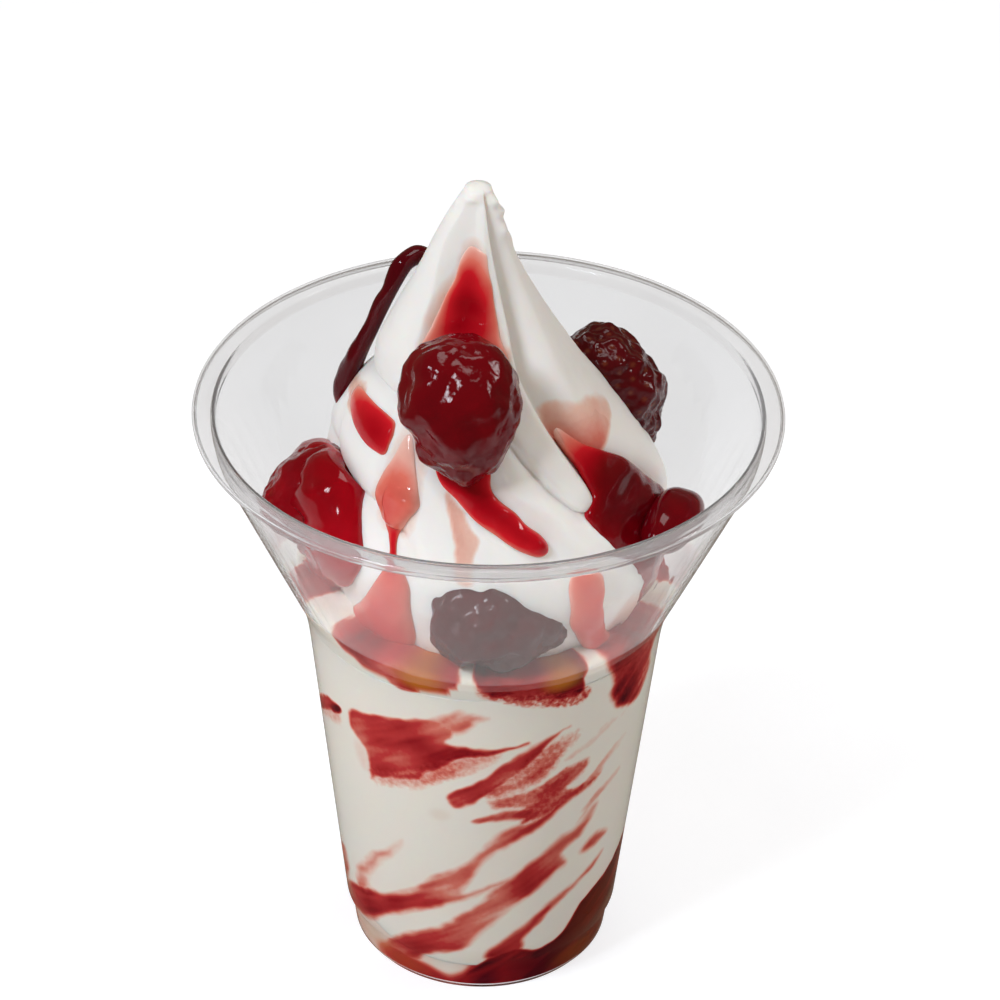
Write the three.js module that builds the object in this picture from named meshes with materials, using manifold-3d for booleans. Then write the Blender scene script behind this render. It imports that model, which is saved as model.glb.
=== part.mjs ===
// A clear flared dessert cup of strawberry soft serve: a marbled fill under a piped swirl, sauce and berries.
// Millimetres, +Z up, origin at the centre of the foot. Bearings are in degrees: 0 faces -Y, 90 faces +X.
import * as THREE from "three";
import { mergeVertices } from "three/addons/utils/BufferGeometryUtils.js";
import Module from "manifold-3d";

const wasm = await Module();
wasm.setup();

// Cup: a thin wall given by its middle line
const WALL = 0.7;
const RIM_RADIUS = 49;
const CURL_RADIUS = 1.55;
const CURL_HEIGHT = 106.3;
const CURL_END = 104.2;
const FLARE_TOP = { r: 45.45, z: 103 };
const SHOULDER = { r: 30.2, z: 69.1 };
const BODY_FOOT = { r: 23.35, z: 8 };
const STEP = { r: 22.55, z: 7 };
const FOOT_CORNER = { r: 21.75, z: 1.3 };
const FOOT_RING = { outer: 21, inner: 18.6 };
const PANEL = { r: 17.4, z: 2.2 };
const CUP_SEGMENTS = 40;
const CURL_STEPS = 3;

// Spaces kept between pieces that touch
const WALL_GAP = 0.42;
const FOOD_GAP = 0.35;
const RING_GAP = 0.6;
const SHARPEST_MITRE = 0.5;
// Points closer than this are one
const WELD = 1e-3;

// Sauce at the bottom of the cup: low at the front, drawn up the wall at the sides and back
const POOL = { low: 6, high: 15.4, middle: 9, lowBearing: -8, spread: 1.7 };
const POOL_EDGE_STEPS = 4;
// Shares of the way from the axis to the wall at which the sauce's top has points
const POOL_SHARES = [0, 0.4, 0.75];

// Soft serve: a fill up to the shoulder, then a swirl that ends in a blunt tip
const SERVE_SEGMENTS = 66;
const SWIRL_STEPS = 34;
// Shares of the fill's height at which its side has points
const FILL_SHARES = [0, 0.3, 0.65, 1];
const FILL_TOP = 68.2;
const SWIRL_FOOT = 70.2;
const TIP = 149.4;
const CROWN = 0.4;
// Height and radius of the swirl before its grooves, then height and sideways shift of its axis
const SWELL = [
  [70, 25],
  [79, 28],
  [88, 29.9],
  [94, 28.6],
  [107, 22.9],
  [119, 16.4],
  [134.6, 8.3],
  [145, 4.1],
  [149.4, 2.1],
];
const LEAN = [[80, 1.4], [88, 1.4], [100, 0], [115, -2.2], [128, -3], [138, -2.9], [149.4, -1.6]];
// Grooves that the star nozzle leaves, as rows of height, bearing, half width and depth
const FRONT_GROOVE = [
  [148, -1, 1.2, 0.3],
  [136, -15, 4.6, 1.8],
  [122, -18, 7.4, 3.2],
  [110, -17, 6.5, 3],
  [105.5, -3, 5, 2.3],
  [98, 18, 4, 2.1],
  [84, 40, 3.5, 0.6],
];
const RIGHT_GROOVE = [
  [149, 37, 0.8, 0.3],
  [140, 35, 2.2, 1.4],
  [120, 34.5, 4.6, 3.4],
  [107, 42.5, 4.6, 3.6],
  [94, 55, 4, 0.6],
];
const LOW_LEFT_GROOVE = [
  [114, -35, 2, 0.2],
  [102.4, -39, 4.5, 1.8],
  [95.6, -32, 4.5, 1.9],
  [80, -10, 3, 0.3],
];
const LOW_FRONT_GROOVE = [
  [106, -12, 2, 0.2],
  [99, -7.5, 3.4, 1],
  [80, 18, 3, 0.2],
];
// The plain grooves of the far side follow one line, turned to each bearing
const PLAIN_GROOVE = [
  [148, -8, 1, 0.3],
  [128, 0, 3.8, 1.8],
  [115, 4, 5, 2.3],
  [94, 24, 5, 2.2],
  [84, 40, 4, 0.8],
];
const PLAIN_BEARINGS = [112, 168, -134];
const LOW_PLAIN_GROOVE = [
  [111, 8, 2, 0.2],
  [104, 12, 3.8, 1.4],
  [94, 24, 4.2, 1.8],
  [80, 46, 3, 0.3],
];
const LOW_PLAIN_BEARINGS = [-100, -154];
// Shares of a crease in a groove's section, the rest being an open valley
const FRONT_SHARPNESS = 0.2;
const GROOVE_SHARPNESS = 0.55;
const SLANT_STEP = 0.5;
// Hems where one fold hangs over the next, as rows of bearing, height and depth
const HEMS = [
  {
    rows: [
      [-178, 111, 0],
      [-140, 112.5, 2.2],
      [-100, 113.4, 4.2],
      [-60, 115, 4.2],
      [-36, 112.8, 2.6],
      [-20, 110, 0],
    ],
    above: 5,
    below: 9,
    lip: 1.8,
  },
  {
    rows: [
      [37, 111.7, 0],
      [60, 105, 3.2],
      [73, 100, 4.4],
      [83, 94, 4.8],
      [97, 87.5, 4.4],
      [130, 81, 2.5],
      [170, 77, 0],
    ],
    above: 5.5,
    below: 7,
    lip: 2,
  },
  {
    rows: [
      [-112, 96, 0],
      [-80, 97.5, 2.6],
      [-47, 98, 3.2],
      [-36.7, 97, 2.6],
      [-22, 93, 0],
    ],
    above: 5,
    below: 6,
    lip: 1.4,
  },
  {
    rows: [
      [6, 118, 0],
      [18, 113.1, 2.8],
      [31, 104.4, 3.2],
      [42, 99.4, 3],
      [48, 101, 0],
    ],
    above: 3.6,
    below: 5,
    lip: 1.2,
  },
];
const DEEP_HEM = 4;
// A lip sags most near its lower edge
const LIP_SKEW = 0.7;
// What the shallower of two cuts adds to the deeper one
const CUT_OVERLAP = 0.25;

// Sauce that lies in the wedge between the swirl and the flare: its top rises and falls round the cup
const RING = { bottom: 69.9, top: 75.4, under: 3, tilt: 1.5, wave: 0.9, waves: 3, highBearing: -60 };
const RING_CROWN = { share: 0.6, rise: 0.5, innerRise: 0.3 };
const RING_SEGMENTS = 40;

// Thick runs of sauce over the swirl: bearings and heights along the way, half widths, half thickness,
// and how far the middle stands off the surface
const DRIZZLES = [
  { way: [[-8, 141], [-14, 135], [-15, 126]], wide: [1.6, 3.8, 5.2], thick: 1.3, off: [-0.2, -0.2, -0.2] },
  {
    way: [[-14, 108], [-4, 105.6], [7, 102.6], [15, 99.2], [21, 96]],
    wide: [3, 3.2, 3, 2.6, 1.4],
    thick: 1.4,
    off: [-0.2, -0.2, -0.2, -0.2, -0.2],
  },
  {
    way: [[-145, 134], [-118, 133.4], [-110, 127], [-112, 117], [-115, 104]],
    wide: [2, 2.2, 1.8, 1.8, 2],
    thick: 2,
    off: [1.6, 1.8, 1.6, 2, 0.8],
  },
];
// Sauce that runs from the right of the swirl into a lump beside the flare
const POOL_RUN = {
  way: [[44, 110], [50, 104.5], [58, 98.5], [66, 93]],
  wide: [2, 4.6, 7, 6],
  thick: 2.4,
  off: [0.6, 0.6, 0.6, 0.6],
};
const LUMP = { bearing: 69, radius: 32.6, z: 93, size: [5, 7, 7.6] };
// Share of a half turn by which a run's ends are rounded off
const END_ROUNDING = 0.12;
const DRIZZLE_SIDES = 10;
const DRIZZLE_STEPS = 9;
const LUMP_SIDES = 16;

// Berries: length and width, bearing, radius and height of the centre, and the way the tip points
const BERRIES = [
  { name: "berry_front", long: 25, wide: 19.5, at: [-12.5, 20.3, 119.4], tip: [0.08, -0.3, -0.95] },
  { name: "berry_left", long: 20, wide: 18, at: [-80, 28.7, 91.6], tip: [-0.8, -0.55, -0.05] },
  { name: "berry_right", long: 24, wide: 17, at: [118, 26, 102.8], tip: [0.6, 0.15, -0.75] },
  { name: "berry_low", long: 23, wide: 16, at: [5, 26.2, 83], tip: [1, 0.1, -0.08] },
];
const BERRY_SIDES = 18;
const BERRY_RINGS = 11;
// A berry is broad at its stem end, and fuller at its middle than at either end
const BERRY_TAPER = 0.16;
const BERRY_FULLNESS = 0.1;

const COLOURS = { cup: "#e9ecec", cream: "#f2ece2", sauce: "#8c0f14", berry: "#5e1016" };

const radians = THREE.MathUtils.degToRad;
const { lerp, clamp, smoothstep } = THREE.MathUtils;

function polar(bearing, r, z) {
  return new THREE.Vector3(r * Math.sin(radians(bearing)), -r * Math.cos(radians(bearing)), z);
}

function turnBetween(a, b) {
  return ((((a - b + 180) % 360) + 360) % 360) - 180;
}

// A lathe whose outline may differ at each bearing
function turned(outlineAt, segments) {
  const geometry = new THREE.LatheGeometry(outlineAt(0), segments);
  const position = geometry.attributes.position;
  for (let i = 0; i <= segments; i++) {
    const bearing = ((i % segments) * 360) / segments;
    outlineAt(bearing).forEach((point, j, outline) => {
      const at = polar(bearing, point.x, point.y);
      position.setXYZ(i * outline.length + j, at.x, at.y, at.z);
    });
  }
  return geometry;
}

// Closed geometry as a solid, and back
function solid(geometry, matrix = new THREE.Matrix4()) {
  const bare = geometry.index ? geometry.toNonIndexed() : geometry.clone();
  bare.deleteAttribute("normal");
  bare.deleteAttribute("uv");
  const merged = mergeVertices(bare.applyMatrix4(matrix), WELD);
  const corners = merged.index.array;
  const kept = [];
  for (let i = 0; i < corners.length; i += 3) {
    const [a, b, c] = corners.slice(i, i + 3);
    if (a !== b && b !== c && c !== a) kept.push(a, b, c);
  }
  const vertProperties = merged.attributes.position.array;
  return new wasm.Manifold(new wasm.Mesh({ numProp: 3, vertProperties, triVerts: new Uint32Array(kept) }));
}

function geometryOf(made) {
  const mesh = made.getMesh();
  const geometry = new THREE.BufferGeometry();
  geometry.setAttribute("position", new THREE.BufferAttribute(new Float32Array(mesh.vertProperties), 3));
  geometry.setIndex(new THREE.BufferAttribute(new Uint32Array(mesh.triVerts), 1));
  geometry.computeVertexNormals();
  return geometry;
}

// The largest body of a solid, without loose scraps
function mainBody(made) {
  return made.decompose().sort((a, b) => b.volume() - a.volume())[0];
}

// Cup wall
function cupMidline() {
  const curlCentre = RIM_RADIUS - WALL / 2 - CURL_RADIUS;
  const line = new THREE.Path();
  line.moveTo(0, PANEL.z);
  line.lineTo(PANEL.r, PANEL.z);
  line.lineTo(FOOT_RING.inner, WALL / 2);
  line.lineTo(FOOT_RING.outer, WALL / 2);
  line.lineTo(FOOT_CORNER.r, FOOT_CORNER.z);
  line.lineTo(STEP.r, STEP.z);
  line.lineTo(BODY_FOOT.r, BODY_FOOT.z);
  line.lineTo(SHOULDER.r, SHOULDER.z);
  line.lineTo(FLARE_TOP.r, FLARE_TOP.z);
  line.lineTo(curlCentre - CURL_RADIUS, CURL_HEIGHT);
  line.absarc(curlCentre, CURL_HEIGHT, CURL_RADIUS, Math.PI, 0, true);
  line.lineTo(RIM_RADIUS - WALL / 2, CURL_END);
  return line.getPoints(CURL_STEPS);
}

function offsetLine(line, distance) {
  const sides = line.slice(1).map((point, i) => {
    const along = point.clone().sub(line[i]).normalize();
    return new THREE.Vector2(along.y, -along.x);
  });
  return line.map((point, i) => {
    if (point.x === 0) return new THREE.Vector2(0, point.y + (i ? distance : -distance));
    const before = sides[Math.max(i - 1, 0)];
    const after = sides[Math.min(i, sides.length - 1)];
    const mitre = before.clone().add(after).divideScalar(Math.max(1 + before.dot(after), SHARPEST_MITRE));
    return point.clone().addScaledVector(mitre, distance);
  });
}

function cupGeometry() {
  const line = cupMidline().filter((point, i, all) => i === 0 || point.distanceTo(all[i - 1]) > WELD);
  const outline = [...offsetLine(line, WALL / 2), ...offsetLine(line, -WALL / 2).reverse()];
  return turned(() => outline, CUP_SEGMENTS);
}

// Inner face of the cup at a height, less the gap that the food keeps
function foodRadius(z) {
  const line = [FOOT_CORNER, STEP, BODY_FOOT, SHOULDER, FLARE_TOP];
  const above = line.findIndex((point) => point.z >= z);
  const [a, b] = above < 1 ? [line[0], line[1]] : [line[above - 1], line[above]];
  return lerp(a.r, b.r, (z - a.z) / (b.z - a.z)) - WALL / 2 - WALL_GAP;
}

// Sauce in the foot
function poolTop(bearing, r) {
  const away = clamp(Math.abs(turnBetween(bearing, POOL.lowBearing)) * POOL.spread, 0, 180);
  const edge = lerp(POOL.low, POOL.high, (1 - Math.cos(radians(away))) / 2);
  return lerp(POOL.middle, edge, (r / foodRadius(edge)) ** 2);
}

function poolEdge(bearing) {
  let r = foodRadius(POOL.low);
  for (let i = 0; i < POOL_EDGE_STEPS; i++) r = foodRadius(poolTop(bearing, r));
  return r;
}

function poolOutline(bearing) {
  const floor = PANEL.z + WALL / 2 + FOOD_GAP;
  const edge = poolEdge(bearing);
  const top = poolTop(bearing, edge);
  const step = Math.min(STEP.z, lerp(floor, top, 0.8));
  const body = Math.min(BODY_FOOT.z, (step + top) / 2);
  const side = [floor, (floor + step) / 2, step, body, top].map((z) => new THREE.Vector2(foodRadius(z), z));
  const inward = POOL_SHARES.map((share) => new THREE.Vector2(edge * share, poolTop(bearing, edge * share)));
  return [new THREE.Vector2(0, floor), ...side, ...inward.reverse()];
}

// A smooth curve through rows, read at a value of their first column
function curveAt(rows, at, column) {
  const sorted = [...rows].sort((a, b) => a[0] - b[0]);
  const last = sorted.length - 1;
  const x = clamp(at, sorted[0][0], sorted[last][0]);
  const i = clamp(sorted.findIndex((row) => row[0] >= x) - 1, 0, last - 1);
  const slope = (j) => (sorted[j + 1][column] - sorted[j][column]) / (sorted[j + 1][0] - sorted[j][0]);
  const tangent = (j) => {
    if (j === 0 || j === last) return slope(Math.min(j, last - 1));
    const [before, after] = [slope(j - 1), slope(j)];
    return before * after > 0 ? (2 * before * after) / (before + after) : 0;
  };
  const step = sorted[i + 1][0] - sorted[i][0];
  const t = (x - sorted[i][0]) / step;
  const ease = t * t * (3 - 2 * t);
  return (
    lerp(sorted[i][column], sorted[i + 1][column], ease) +
    step * (t * (1 - t) ** 2 * tangent(i) - t * t * (1 - t) * tangent(i + 1))
  );
}

// A share of a cut's depth at a share of its reach: a sharp crease between round lips, and an open valley
function crease(reach) {
  return 1 - Math.sqrt(1 - (1 - clamp(reach, 0, 1)) ** 2);
}

function valley(reach) {
  return (1 - clamp(reach, 0, 1) ** 2) ** 2;
}

function deeper(cut, other) {
  return Math.max(cut, other) + CUT_OVERLAP * Math.min(cut, other);
}

function turnedGroove(rows, bearing) {
  return rows.map(([z, b, wide, deep]) => [z, b + bearing, wide, deep]);
}

const GROOVES = [
  { rows: FRONT_GROOVE, sharp: FRONT_SHARPNESS },
  ...[
    RIGHT_GROOVE,
    LOW_LEFT_GROOVE,
    LOW_FRONT_GROOVE,
    ...PLAIN_BEARINGS.map((bearing) => turnedGroove(PLAIN_GROOVE, bearing)),
    ...LOW_PLAIN_BEARINGS.map((bearing) => turnedGroove(LOW_PLAIN_GROOVE, bearing)),
  ].map((rows) => ({ rows, sharp: GROOVE_SHARPNESS })),
];

function grooveCut({ rows, sharp }, bearing, z, radius) {
  if (z > rows[0][0] || z < rows[rows.length - 1][0]) return 0;
  const turn = radians(curveAt(rows, z + SLANT_STEP, 1) - curveAt(rows, z - SLANT_STEP, 1));
  const slant = (turn * radius) / (2 * SLANT_STEP);
  const away = (Math.abs(radians(turnBetween(bearing, curveAt(rows, z, 1)))) * radius) / Math.hypot(1, slant);
  const reach = away / curveAt(rows, z, 2);
  return curveAt(rows, z, 3) * lerp(valley(reach), crease(reach), sharp);
}

// How deep a hem cuts at a bearing, and how high a point stands over it
function hemAt({ rows }, bearing, z) {
  const b = turnBetween(bearing, 0);
  const beside = b < rows[0][0] || b > rows[rows.length - 1][0];
  return { deep: beside ? 0 : curveAt(rows, b, 2), over: z - curveAt(rows, b, 1) };
}

function swirlRadius(bearing, z) {
  const radius = curveAt(SWELL, z, 1);
  const grooved = GROOVES.reduce((cut, groove) => deeper(cut, grooveCut(groove, bearing, z, radius)), 0);
  const hemmed = HEMS.reduce((cut, hem) => {
    const { deep, over } = hemAt(hem, bearing, z);
    return deeper(cut, deep * crease(over > 0 ? over / hem.above : -over / hem.below));
  }, grooved);
  return radius - hemmed;
}

// How far a fold's lip sags over the hem beneath it
function swirlSag(bearing, z) {
  return HEMS.reduce((sum, hem) => {
    const { deep, over } = hemAt(hem, bearing, z);
    const share = clamp(over / hem.above, 0, 1);
    return sum + hem.lip * (deep / DEEP_HEM) * Math.sin(Math.PI * share ** LIP_SKEW);
  }, 0);
}

// A point on the swirl, or a distance off it
function onSwirl(bearing, z, off = 0) {
  const at = polar(bearing, swirlRadius(bearing, z) + off, z - swirlSag(bearing, z));
  at.x += curveAt(LEAN, z, 1);
  return at;
}

// The soft serve's outline at a bearing, from the axis at the bottom to the tip
function serveOutline(bearing) {
  const edge = poolEdge(bearing);
  const floor = POOL_SHARES.map(
    (share) => new THREE.Vector2(edge * share, poolTop(bearing, edge * share) + FOOD_GAP),
  );
  const low = poolTop(bearing, edge) + FOOD_GAP;
  const wall = FILL_SHARES.map((share) => {
    const z = lerp(low, FILL_TOP, share);
    return new THREE.Vector2(foodRadius(z), z);
  });
  const swirl = Array.from({ length: SWIRL_STEPS + 1 }, (_, i) => {
    const z = lerp(SWIRL_FOOT, TIP, i / SWIRL_STEPS);
    return new THREE.Vector2(swirlRadius(bearing, z), z - swirlSag(bearing, z));
  });
  return [...floor, ...wall, ...swirl, new THREE.Vector2(0, TIP + CROWN)];
}

// The swirl's axis is shifted sideways by height, and the fill below it isn't
function lean(geometry) {
  const position = geometry.attributes.position;
  for (let i = 0; i < position.count; i++) {
    const z = position.getZ(i);
    const share = smoothstep(z, SWIRL_FOOT, LEAN[0][0]);
    position.setX(i, position.getX(i) + share * curveAt(LEAN, z, 1));
  }
  return geometry;
}

function serveSolid(grow = 0) {
  return solid(lean(turned((bearing) => offsetLine(serveOutline(bearing), grow), SERVE_SEGMENTS)));
}

// Sauce ring in the wedge at the foot of the flare
function ringOutline(bearing) {
  const away = radians(turnBetween(bearing, RING.highBearing));
  const top = RING.top + RING.tilt * Math.cos(away) + RING.wave * Math.cos(away * RING.waves);
  const inner = SWELL[0][1] - RING.under;
  return [
    new THREE.Vector2(inner, RING.bottom),
    new THREE.Vector2(foodRadius(RING.bottom), RING.bottom),
    new THREE.Vector2(foodRadius(top), top),
    new THREE.Vector2(lerp(inner, foodRadius(top), RING_CROWN.share), top + RING_CROWN.rise),
    new THREE.Vector2(inner, top + RING_CROWN.innerRise),
    new THREE.Vector2(inner, RING.bottom),
  ];
}

// A thick run of sauce over the swirl, from a cylinder bent along its way
function drizzleSolid({ way, wide, thick, off }) {
  const curve = new THREE.CatmullRomCurve3(way.map(([bearing, z], i) => onSwirl(bearing, z, off[i])));
  const geometry = new THREE.CylinderGeometry(1, 1, 1, DRIZZLE_SIDES, DRIZZLE_STEPS).rotateX(Math.PI / 2);
  const position = geometry.attributes.position;
  for (let i = 0; i < position.count; i++) {
    const t = clamp(position.getZ(i) + 0.5, 0, 1);
    const at = curve.getPoint(t);
    const along = curve.getTangent(t);
    const across = new THREE.Vector3(at.x, at.y, 0).cross(along).negate().normalize();
    const step = t * (wide.length - 1);
    const rounding = Math.sin(Math.PI * lerp(END_ROUNDING, 1 - END_ROUNDING, t));
    const half = lerp(wide[Math.floor(step)], wide[Math.ceil(step)], step % 1) * rounding;
    at.addScaledVector(across, position.getX(i) * half);
    const outward = new THREE.Vector3().crossVectors(along, across);
    at.addScaledVector(outward, position.getY(i) * thick * rounding);
    position.setXYZ(i, at.x, at.y, at.z);
  }
  return solid(geometry);
}

function lumpSolid() {
  const at = polar(LUMP.bearing, LUMP.radius, LUMP.z);
  const lump = new THREE.SphereGeometry(1, LUMP_SIDES, LUMP_SIDES / 2).scale(...LUMP.size);
  return solid(lump.rotateZ(radians(LUMP.bearing - 90)).translate(at.x, at.y, at.z));
}

// A berry with its stem end up and its tip down the -Y axis of its own frame. grow widens it all round.
function berryGeometry({ long, wide }, grow = 0) {
  const geometry = new THREE.SphereGeometry(1, BERRY_SIDES, BERRY_RINGS);
  const position = geometry.attributes.position;
  for (let i = 0; i < position.count; i++) {
    const y = position.getY(i);
    const plump = 1 + BERRY_TAPER * y - BERRY_FULLNESS * y * y;
    const half = (wide / 2 + grow) * plump;
    position.setXYZ(i, position.getX(i) * half, y * (long / 2 + grow), position.getZ(i) * half);
  }
  return geometry;
}

function berryMesh(berry, material) {
  const mesh = new THREE.Mesh(berryGeometry(berry), material);
  mesh.name = berry.name;
  mesh.position.copy(polar(...berry.at));
  const tip = new THREE.Vector3(...berry.tip).normalize();
  mesh.quaternion.setFromUnitVectors(new THREE.Vector3(0, -1, 0), tip);
  mesh.updateMatrix();
  return mesh;
}

function named(name, geometry, material) {
  const mesh = new THREE.Mesh(geometry, material);
  mesh.name = name;
  return mesh;
}

const cupPlastic = new THREE.MeshStandardMaterial({
  color: COLOURS.cup,
  roughness: 0.08,
  metalness: 0,
  transparent: true,
  opacity: 0.3,
});
const cream = new THREE.MeshStandardMaterial({ color: COLOURS.cream, roughness: 0.55, metalness: 0 });
const sauce = new THREE.MeshStandardMaterial({ color: COLOURS.sauce, roughness: 0.12, metalness: 0 });
const berrySkin = new THREE.MeshStandardMaterial({ color: COLOURS.berry, roughness: 0.25, metalness: 0 });

const berries = BERRIES.map((berry) => berryMesh(berry, berrySkin));
const berryRoom = BERRIES.map((berry, i) => solid(berryGeometry(berry, FOOD_GAP), berries[i].matrix));

const cutBy = (made, rooms) => mainBody(rooms.reduce((left, room) => left.subtract(room), made));
const topped = DRIZZLES.map(drizzleSolid).reduce((sum, run) => sum.add(run), serveSolid());
const served = cutBy(topped, berryRoom);
const serveRoom = serveSolid(RING_GAP);
const pooled = cutBy(drizzleSolid(POOL_RUN).add(lumpSolid()), [serveRoom, ...berryRoom]);
const ringed = cutBy(solid(turned(ringOutline, RING_SEGMENTS)), [serveRoom, ...berryRoom]);

const dessert = new THREE.Group();
dessert.add(named("cup", cupGeometry(), cupPlastic));
dessert.add(named("base_sauce", turned(poolOutline, SERVE_SEGMENTS), sauce));
dessert.add(named("soft_serve", geometryOf(served), cream));
dessert.add(named("sauce_ring", geometryOf(ringed), sauce));
dessert.add(named("sauce_pool", geometryOf(pooled), sauce));
dessert.add(...berries);

export default dessert;
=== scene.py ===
# %% [markdown]
# # A clear cup of soft serve with strawberry sauce
# This lesson dresses a dessert: a flared see-through cup, vanilla soft serve that is marbled with sauce
# and ends in a piped swirl, runs of glossy sauce, and whole berries in syrup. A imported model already
# gives every piece its size and its place. So nothing is fitted here: each piece is modelled again at a
# finer grain where it already is, and then gets its finish.

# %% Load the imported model
import math

import bmesh
import bpy
import numpy as np
from mathutils import Matrix, Vector, kdtree, noise


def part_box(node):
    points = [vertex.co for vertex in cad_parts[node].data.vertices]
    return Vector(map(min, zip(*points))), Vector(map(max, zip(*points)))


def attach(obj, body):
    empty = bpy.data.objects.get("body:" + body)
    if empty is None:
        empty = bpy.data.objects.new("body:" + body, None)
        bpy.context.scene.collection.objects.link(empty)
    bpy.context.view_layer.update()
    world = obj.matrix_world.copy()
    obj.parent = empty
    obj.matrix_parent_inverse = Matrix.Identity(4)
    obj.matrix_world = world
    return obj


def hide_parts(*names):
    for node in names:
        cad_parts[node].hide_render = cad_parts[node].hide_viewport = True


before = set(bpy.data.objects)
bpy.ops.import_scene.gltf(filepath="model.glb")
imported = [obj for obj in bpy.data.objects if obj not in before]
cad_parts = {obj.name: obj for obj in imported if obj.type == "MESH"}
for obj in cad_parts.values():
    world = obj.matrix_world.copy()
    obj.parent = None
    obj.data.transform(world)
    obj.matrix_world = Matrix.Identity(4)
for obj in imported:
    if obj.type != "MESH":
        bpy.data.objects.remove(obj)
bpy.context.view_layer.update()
print("nodes:", sorted(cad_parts))

# %% [markdown]
# ## The camera
# The dessert was pictured from a little above with a long lens, which keeps its sides nearly parallel.
# The height and lens follow from the ovals of the rim and the foot. A camera is easiest to aim by
# building its turn from the way that it looks: tipped down by its elevation, then rolled a little about
# its own line of sight.

# %% Camera
CAMERA_DISTANCE = 0.8
CAMERA_ELEVATION = math.radians(34.61)
CAMERA_ROLL = math.radians(1.101)
CAMERA_LENS = 172.0
CAMERA_NEAREST = 0.01
AIM = Vector((0.00216, 0.0, 0.088535))

scene = bpy.context.scene
camera = bpy.data.objects.new("camera", bpy.data.cameras.new("camera"))
camera.data.lens = CAMERA_LENS
camera.data.clip_start = CAMERA_NEAREST
back = Vector((0.0, -math.cos(CAMERA_ELEVATION), math.sin(CAMERA_ELEVATION)))
tip_up = Matrix.Rotation(math.pi / 2 - CAMERA_ELEVATION, 4, "X")
roll = Matrix.Rotation(CAMERA_ROLL, 4, "Z")
camera.matrix_world = Matrix.Translation(AIM + CAMERA_DISTANCE * back) @ tip_up @ roll
scene.collection.objects.link(camera)
scene.camera = camera
print("camera at", [round(c, 3) for c in camera.matrix_world.translation])

# %% [markdown]
# ## Studio light
# Food is often lit by a few soft boxes in a dim room: wet surfaces then carry small bright lights and
# stay dark beside them. The key light stands at the left as two panes, like a window, so the right side
# falls into a warm shade. A box at the right lifts that side, and a large one above softens the rest. The
# Standard view keeps the whites white.

# %% World and lamps
ROOM_COLOUR = (1.0, 0.77, 0.55, 1.0)
ROOM_LIGHT = 0.17
KEY_COLOUR = (0.945, 1.015, 1.1)
PLAIN_COLOUR = (1.0, 1.0, 1.0)
LIGHT_BOUNCES = 16
CLEAR_BOUNCES = 12
# Name, bearing and elevation in degrees, distance, width and height in metres, power in watts, and colour
LAMPS = [
    ("key_pane_left", -53.0, 48.0, 0.75, 0.075, 0.17, 1.65, KEY_COLOUR),
    ("key_pane_right", -41.0, 48.0, 0.75, 0.075, 0.17, 1.65, KEY_COLOUR),
    ("right_box", 86.0, 38.0, 0.8, 0.12, 0.12, 1.0, PLAIN_COLOUR),
    ("top_box", 150.0, 75.0, 0.9, 0.4, 0.3, 2.2, PLAIN_COLOUR),
]


def toward(bearing, elevation):
    """A unit vector from the cup's axis, by a bearing from the front and an elevation in degrees."""
    turn = math.radians(bearing)
    rise = math.radians(elevation)
    return Vector((math.sin(turn) * math.cos(rise), -math.cos(turn) * math.cos(rise), math.sin(rise)))


world = bpy.data.worlds.new("room")
world.use_nodes = True
world.node_tree.nodes["Background"].inputs["Color"].default_value = ROOM_COLOUR
world.node_tree.nodes["Background"].inputs["Strength"].default_value = ROOM_LIGHT
scene.world = world
for name, bearing, elevation, distance, wide, tall, watts, colour in LAMPS:
    lamp = bpy.data.lights.new(name, "AREA")
    lamp.shape = "RECTANGLE"
    lamp.size = wide
    lamp.size_y = tall
    lamp.energy = watts
    lamp.color = colour
    holder = bpy.data.objects.new(name, lamp)
    way = toward(bearing, elevation)
    facing = way.to_track_quat("Z", "Y").to_matrix().to_4x4()
    holder.matrix_world = Matrix.Translation(AIM + distance * way) @ facing
    scene.collection.objects.link(holder)
scene.view_settings.view_transform = "Standard"
scene.cycles.use_denoising = True
scene.cycles.max_bounces = LIGHT_BOUNCES
scene.cycles.transmission_bounces = CLEAR_BOUNCES
print("lamps:", [row[0] for row in LAMPS])

# %% [markdown]
# ## The floor
# The dessert stands on a plain white sheet that runs out of the picture and glows a little, as a lit
# table does, so that it stays white while the light on the food is low. A grid is enough. Its finish is
# paper with a faint mottle. Glossy rays pass it by: the studio round a wet dessert is kept dark, or a
# white table would veil every red.

# %% Floor
FLOOR_SIZE = 2.6
FLOOR_GLOW = 0.76
FLOOR_GLOW_COLOUR = (0.99, 1.0, 1.02, 1.0)
FLOOR_CELLS = 8
MOTTLE_SIZE = 0.02
PAPER_GREYS = [(0.3, (0.4, 0.4, 0.4)), (0.7, (0.42, 0.42, 0.42))]
PAPER_ROUGHNESS = 0.8


def new_finish(name):
    """A material with its nodes, its links and its Principled shader."""
    material = bpy.data.materials.new(name)
    material.use_nodes = True
    tree = material.node_tree
    return material, tree.nodes, tree.links, tree.nodes["Principled BSDF"]


def noise_on_object(nodes, links, size, detail=3.0):
    """A noise texture on Object coordinates, with lumps of about the given size in metres."""
    place = nodes.new("ShaderNodeTexCoord")
    texture = nodes.new("ShaderNodeTexNoise")
    texture.inputs["Scale"].default_value = 1.0 / size
    texture.inputs["Detail"].default_value = detail
    links.new(place.outputs["Object"], texture.inputs["Vector"])
    return texture.outputs["Fac"]


def ramp_of(nodes, links, value, stops):
    """A colour ramp over a value, from (place, colour) stops."""
    ramp = nodes.new("ShaderNodeValToRGB")
    points = ramp.color_ramp.elements
    while len(points) < len(stops):
        points.new(0.5)
    for point, (place, colour) in zip(points, stops):
        point.position = place
        point.color = (*colour, 1.0)
    links.new(value, ramp.inputs["Fac"])
    return ramp.outputs["Color"]


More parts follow.
